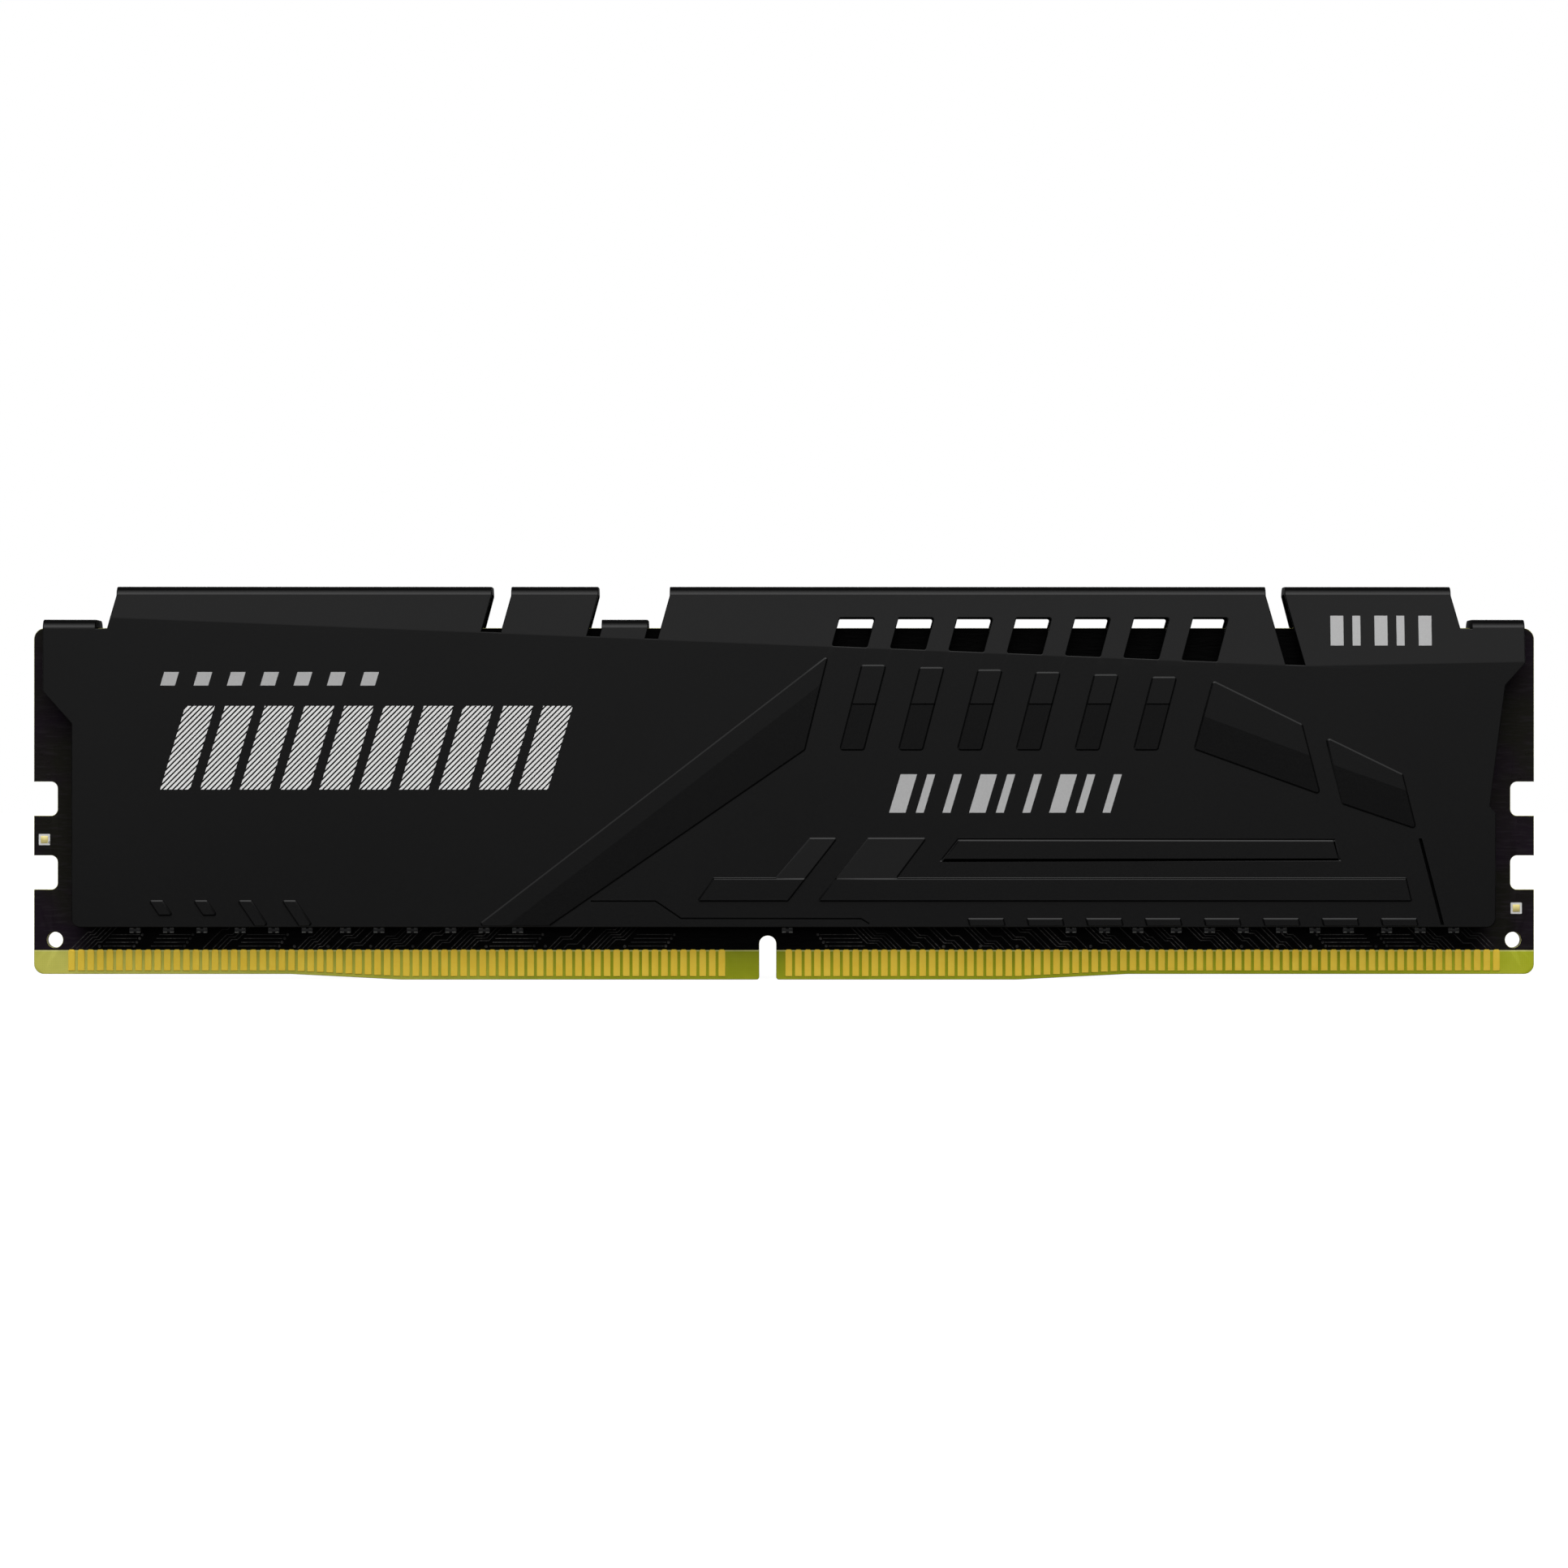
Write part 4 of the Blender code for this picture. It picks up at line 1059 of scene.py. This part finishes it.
def add_panel(bm, outline, stops=((0, 1),), line=((0, 0), (1, 0))):
    """A raised panel with a steep wall and a chamfer.

    Its height follows stops of (distance above a line, share of the relief). It has no chamfer at the sheet's
    lower edge.
    """
    steps = (-BORDER_OUT, WALL - BORDER_OUT, WALL + CHAMFER - BORDER_OUT)
    rings = lofted(bm, outline, [(step, part) for part, step in enumerate(steps)])
    for vertex in rings[-1]:
        if vertex.co.y < PATTERN_FLOOR + WALL + CHAMFER + SIDE_SLACK:
            vertex.co.y = PATTERN_FLOOR + 2 * WALL
    fill(bm, loop_edges(bm, rings[-1]))
    start, end = (Vector(point) for point in line)
    ahead = (end - start).normalized()
    across = Vector((-ahead.y, ahead.x))
    for distance, _ in stops[1:-1]:
        verts = joined(rings[0])
        edges = {edge for vertex in verts for edge in vertex.link_edges}
        faces = {face for vertex in verts for face in vertex.link_faces}
        split(bm, [*verts, *edges, *faces], start + across * distance, across)
        for edge in {edge for vertex in joined(rings[0]) for edge in vertex.link_edges}:
            if all(abs((vertex.co.xy - start).dot(across) - distance) < 1e-4 for vertex in edge.verts):
                edge.smooth = False
    for vertex in joined(rings[0]):
        height = RELIEF * between(stops, (vertex.co.xy - start).dot(across))
        foot, part = max(height - CHAMFER_DROP, 0), vertex.co.z
        vertex.co.z = foot * part if part < 1 else foot + (height - foot) * (part - 1)


def add_groove(bm, outline, profile):
    """A groove along an outline, with a profile of (inset, level). The sheet inside it, if any, is left."""
    rings = lofted(bm, outline, profile)
    if profile[-1][1] < 0:
        fill(bm, loop_edges(bm, rings[-1]))


def leaning(x, width, bottom, top, low_shift=0.0, high_shift=0.0):
    """A four-sided shape with level ends, each shifted sideways."""
    low, high = x + low_shift, x + high_shift
    return [(low, bottom), (x + width + low_shift, bottom), (x + width + high_shift, top), (high, top)]


def add_pattern(bm):
    floor = PATTERN_FLOOR + BORDER_OUT
    # Broad ridge from the lower edge to a point under the band
    ridge = [(-27.02, floor), (-20.71, floor), (1.82, 20.42), (3.86, 28.7)]
    add_panel(bm, soft(ridge, 0.12), ((1, 1.0), (0, 1.0), (-3.7, 0.6)), ((-24.4, floor), (3.12, 26.11)))
    # Two slanted tiles
    slope = ((1, 1.0), (0, 1.0), (-3.3, 0.58))
    tile = [(36.32, 20.5), (47.43, 16.49), (45.83, 22.63), (37.97, 26.49)]
    add_panel(bm, soft(tile, 0.2), slope, ((37.17, 23.38), (46.49, 19.91)))
    tile = [(49.43, 15.65), (55.91, 13.44), (54.71, 18.23), (47.96, 21.51)]
    add_panel(bm, soft(tile, 0.2), slope, ((48.54, 19.11), (55.0, 16.82)))
    # Two low rails; their climbing ends rise gently to a step
    climb = ((3.5, 0.28), (0.0, 0.7), (-0.13, 1.0), (-2.1, 1.0))
    shelf = ((0, 9.06), (1, 9.06))
    left = [(-0.72, 9.06), (-6.18, 9.06), (-7.61, 7.05), (0.33, 7.05), (4.67, 12.58), (2.3, 12.58)]
    add_panel(bm, soft(left, 0.1), climb, shelf)
    right = [(9.92, 9.06), (12.57, 12.58), (7.45, 12.58), (3.05, 7.05), (55.5, 7.05), (55.02, 9.06)]
    add_panel(bm, soft(right, 0.1), climb, shelf)
    # Six slanted bars, each with a step across it
    step = ((3.5, 1.0), (0.065, 1.0), (-0.065, 0.72), (-4.1, 0.4))
    for number in range(6):
        x, width, base = 4.95 + 5.2 * number, 2.1, 20.42
        top = crease_height(x + width) - 1.55
        bar = leaning(x, width, base, top, high_shift=0.261 * (top - base))
        add_panel(bm, soft(bar, 0.2), step, ((0, 24.46), (1, 24.46)))
    # Eight dashes under the right rail
    for number in range(8):
        x, width, top = 16.3 + WINDOW_PITCH * number, 3.09, 5.47
        add_panel(bm, soft(leaning(x, width, floor, top, CUT_LEAN * (top - floor)), 0.05))
    # Four marks at the left end, the last two down to the edge
    for number, base in enumerate((5.79, 5.79, floor, floor)):
        x, width, top = -56.15 + 3.92 * number, 1.15, 7.05
        add_panel(bm, soft(leaning(x, width, base, top, 0.68 * (top - base)), 0.12))
    # Grooves: a loop around a long field, a slanted line at the right end and a stepped line in the middle
    field = [(13.71, 10.53), (49.33, 10.57), (48.79, 12.54), (15.37, 12.58)]
    add_groove(bm, soft(field, 0.05), ((0, 0), (0.12, -0.055), (0.24, 0)))
    slanted_line = [(58.12, floor), (58.42, floor), (56.44, 12.58), (56.15, 12.58)]
    add_groove(bm, soft(slanted_line, 0.04), ((0, 0), (0.03, -0.4)))
    stepped = [(-17.1, 7.02), (-11.35, 7.02), (-9.12, 5.5), (6.82, 5.47), (7.55, floor + 0.1)]
    add_groove(bm, stroke(stepped, 0.065), ((0, 0), (0.06, -0.2)))


def spreader_half():
    """One half of the spreader, drawn as a flat sheet, scored along its bends and folded."""
    bm = bmesh.new()
    edge = eased(-SHEET, 0, EDGE_ROUND, steps=4)
    for number, outline in enumerate([sheet_outline(), *map(window_outline, range(WINDOW_COUNT))]):
        lofted(bm, outline, edge, -1 if number else 1)
    add_pattern(bm)
    for level in (-SHEET, 0):
        edges = open_edges(bm, level)
        for edge in edges:
            edge.smooth = False
        fill(bm, edges)

    def score(point, direction):
        split(bm, bm.verts[:] + bm.edges[:] + bm.faces[:], point, direction)

    for rise, turn in zip(BAND_RISES, (1, -1)):
        for aside in (-1, -0.5, 0, 0.5, 1):
            score((BAND_APEX[0], BAND_APEX[1] + CREASE_HALF * aside), (turn * rise, 1))
    score(BAND_APEX, (1, 0))
    for top in sorted({top for _, _, top in UPSTANDS}):
        start = top - BEND_RISE
        lengths = [0, KNEE_LENGTH / 3, KNEE_LENGTH * 2 / 3]
        lengths += [KNEE_LENGTH + REST_LENGTH * step / BEND_STEPS for step in range(BEND_STEPS + 1)]
        for along in lengths:
            score((0, start + along), (0, 1))
    # The inner side and the steep walls take the second material, which is darker than the coating: painted
    # shade.
    for face in bm.faces:
        inside = min(vertex.co.z for vertex in face.verts) < -SHEET / 2
        face.material_index = 1 if inside or abs(face.normal.z) < STEEP else 0
    for vertex in bm.verts:
        x, length, level = vertex.co
        depth, height = folded(x, length, level, top_at(x, length))
        vertex.co = (x, -depth, height)
    return bm


def make_spreader(looks):
    for place, back in (("front", False), ("back", True)):
        nodes = [f"heat_spreader_{place}"]
        write_piece(f"spreader_{place}", spreader_half(), looks["coating"], nodes, 24, back, upright=True)


# ---- Printed marks and label ----


def clipped(polygon, point, normal):
    """The part of a convex polygon on the side of a line that its normal points to."""
    kept = []
    for a, b in zip(polygon, polygon[1:] + polygon[:1]):
        from_a, from_b = (a - point).dot(normal), (b - point).dot(normal)
        if from_a >= 0:
            kept.append(a)
        if from_a * from_b < 0:
            kept.append(a.lerp(b, from_a / (from_a - from_b)))
    return kept


def slanted(x, z, width, height, lean=0.3):
    return [Vector(point) for point in leaning(x, width, z, z + height, high_shift=lean * height)]


def add_hatched(bm, shape, level):
    """Fills a convex shape with diagonal lines."""
    across = Vector((-1, 1)).normalized()
    reach = [point.dot(across) for point in shape]
    for number in range(int(min(reach) / HATCH_PITCH) - 1, int(max(reach) / HATCH_PITCH) + 2):
        low, high = number * HATCH_PITCH, (number + HATCH_SHARE) * HATCH_PITCH
        strip = clipped(clipped(shape, across * low, across), across * high, -across)
        corners = [p for i, p in enumerate(strip) if (p - strip[i - 1]).length > 0.02]
        if len(corners) > 2 and abs(area(corners)) > 0.01:
            rings = [ring(bm, corners, level - 0.01), ring(bm, corners, level + INK)]
            bridge(bm, rings)
            bm.faces.new(rings[0])
            bm.faces.new(rings[1])


def make_marks(looks):
    """Rows of plain bars where the real module has print. They stand for no letter or sign."""
    printed = ((0, SHEET_OUTER - INK), (0, SHEET_OUTER + INK))
    left = -55.2
    big = bmesh.new()
    for number in range(10):
        add_hatched(big, slanted(left + 3.52 * number, 16.9, 2.62, 7.4), SHEET_OUTER)
    write_piece("hatched_bars", big, looks["silver"])
    small = bmesh.new()
    for number in range(7):
        add_solid(small, [slanted(left + 2.95 * number, 26.1, 1.3, 1.2)], printed)
    for number in range(9):
        width = 1.45 if number % 3 == 0 else 0.7
        add_solid(small, [slanted(9.3 + 2.36 * number, 14.85, width, 3.4)], printed)
    write_piece("grey_bars", small, looks["ink"])
    band = bmesh.new()
    for number in range(5):
        width = 1.15 if number % 2 == 0 else 0.7
        outline = slanted(48.4 + 1.95 * number, 29.65, width, 2.65, 0)
        add_solid(band, [outline], [(0, -INK), (0, INK)])
    for vertex in band.verts:
        x, z, level = vertex.co
        vertex.co = (x, -upright_depth(x, z) - level, z)
    write_piece("band_bars", band, looks["ink"], upright=True)


def make_label(looks):
    place = Place("back_label")
    profile = eased(SHEET_OUTER - 0.005, place.far, 0.02, steps=2)
    flat_piece("blank_label", [place.outline(0.8)], profile, looks["film"], ["back_label"], back=True)


# ---- Stage ----


def make_floor():
    look = Look("pale_floor", (0.3, 0.3, 0.3), 0.9, specular=0.1)
    cloud = look.noise(0.004)
    look.colour(look.blend(cloud, (0.29, 0.29, 0.29), (0.31, 0.31, 0.31)))
    look.shader.inputs["Emission Color"].default_value = (1, 1, 1, 1)
    look.shader.inputs["Emission Strength"].default_value = 0.9
    bpy.ops.mesh.primitive_circle_add(vertices=64, radius=FLOOR_RADIUS, fill_type="NGON")
    floor = bpy.context.object
    floor.location.z = -FLOOR_DROP
    floor.name = "floor"
    floor.data.materials.append(look.material)
    floor.visible_glossy = False
    floor.visible_diffuse = False


def make_backdrop():
    """A white dome that only the camera sees."""
    white = bpy.data.materials.new("white_backdrop")
    white.use_nodes = True
    nodes, links = white.node_tree.nodes, white.node_tree.links
    glow = nodes.new("ShaderNodeEmission")
    glow.inputs["Strength"].default_value = 1.0
    links.new(glow.outputs["Emission"], nodes["Material Output"].inputs["Surface"])
    bpy.ops.mesh.primitive_uv_sphere_add(segments=48, ring_count=24, radius=BACKDROP_RADIUS)
    dome = bpy.context.object
    dome.name = "backdrop"
    dome.data.materials.append(white)
    for rays in ("diffuse", "glossy", "transmission", "volume_scatter", "shadow"):
        setattr(dome, f"visible_{rays}", False)


class Sky(Graph):
    """The world's light as a function of direction, built from smooth steps."""

    def __init__(self):
        world = bpy.data.worlds.new("studio")
        bpy.context.scene.world = world
        world.use_nodes = True
        super().__init__(world.node_tree)
        direction = self.nodes.new("ShaderNodeSeparateXYZ")
        generated = self.nodes.new("ShaderNodeTexCoord").outputs["Generated"]
        self.links.new(generated, direction.inputs["Vector"])
        self.right, self.rear, self.up = direction.outputs

    def step(self, value, low, high, new_low=0.0, new_high=1.0):
        """A smooth step of a value from one level, below low, to another, above high."""
        return self.ranged(value, low, high, new_low, new_high, "SMOOTHSTEP")

    def product(self, *factors):
        result = factors[0]
        for factor in factors[1:]:
            result = self.operate("MULTIPLY", result, factor)
        return result

    def shine(self, base, *parts):
        total = base
        for part in parts:
            total = self.operate("ADD", part, total)
        self.links.new(total, self.nodes["Background"].inputs["Strength"])
        self.nodes["Background"].inputs["Color"].default_value = (1, 1, 1, 1)


def make_light():
    """Soft studio light.

    In front a wide fill starts at eye level, a strong softbox hangs high, and a card reflects from the lower
    left. Behind there is a low softbox, which is kept out of grazing reflections in the sides of the cuts.
    """
    sky = Sky()
    aside = sky.step(sky.operate("ABSOLUTE", sky.right, 0), 0.2, 0.85, 1, 0)
    ahead = sky.step(sky.rear, -0.2, 0.05, 1, 0)
    fill_light = sky.product(sky.step(sky.up, -0.09, 0.12, 0, FILL), aside, ahead)
    high = sky.product(sky.step(sky.up, 0.5, 0.62), sky.step(sky.rear, -0.47, -0.27, 1, 0))
    softbox = sky.product(high, aside, SOFTBOX)
    off_axis = sky.step(sky.operate("ABSOLUTE", sky.right, 0), 0.25, 0.5)
    low = sky.product(sky.step(sky.up, -0.1, 0.1, 0.3, 1), sky.step(sky.up, 0.3, 0.42, 1, 0))
    not_level = sky.operate("MAXIMUM", off_axis, sky.step(sky.up, 0.12, 0.2))
    behind = sky.product(low, not_level, sky.step(sky.rear, 0.15, 0.5), REAR_LIGHT)
    corner = sky.product(sky.step(sky.right, -0.55, -0.35, 1, 0), sky.step(sky.rear, -0.6, -0.5, 1, 0))
    card = sky.product(corner, sky.step(sky.up, -0.2, -0.08, CARD_LIGHT, 0))
    sky.shine(BASE_LIGHT, fill_light, softbox, behind, card)


def make_camera():
    data = bpy.data.cameras.new("camera")
    data.lens = CAMERA_LENS
    data.sensor_width = 36
    data.clip_start, data.clip_end = 0.01, 20
    camera = bpy.data.objects.new("camera", data)
    camera.location = CAMERA_PLACE
    camera.rotation_euler = (math.pi / 2, 0, 0)
    bpy.context.scene.collection.objects.link(camera)
    bpy.context.scene.camera = camera


def finishes():
    """The materials of each finish, and the record's slot that they belong to."""
    return {
        "coating": ([coated_metal(), painted_shade_metal()], "spreader_coating"),
        "mask": ([solder_mask()], "solder_mask_board"),
        "covered": ([mask_over_copper()], "solder_mask_board"),
        "laminate": ([bare_laminate(), cut_laminate()], "solder_mask_board"),
        "gold": ([gold_plating()], "gold_plating"),
        "pale_gold": ([pale_gold()], "gold_plating"),
        "silkscreen": ([label_film()], "gold_plating"),
        "resin": ([moulded_resin()], "chip_resin"),
        "ferrite": ([pressed_ferrite()], "inductor_ferrite"),
        "ceramic": ([fired_ceramic()], "capacitor_ceramic"),
        "glaze": ([resistor_body()], "resistor_ceramic"),
        "tin": ([tin_with_painted_shade()], "resistor_ceramic"),
        "silicone": ([pad_silicone()], "thermal_pad_silicone"),
        "film": ([label_film()], "label_film"),
        "ink": ([grey_ink()], "label_film"),
        "silver": ([silver_ink()], "label_film"),
    }


def main():
    bpy.context.scene.view_settings.view_transform = "Standard"
    make_camera()
    looks = finishes()
    makers = (make_board, make_contacts, make_camera_targets, make_memory_chips, make_power_parts)
    makers += (make_resistors, make_pads, make_spreader, make_marks, make_label)
    for make in makers:
        make(looks)
    make_floor()
    make_backdrop()
    make_light()


main()
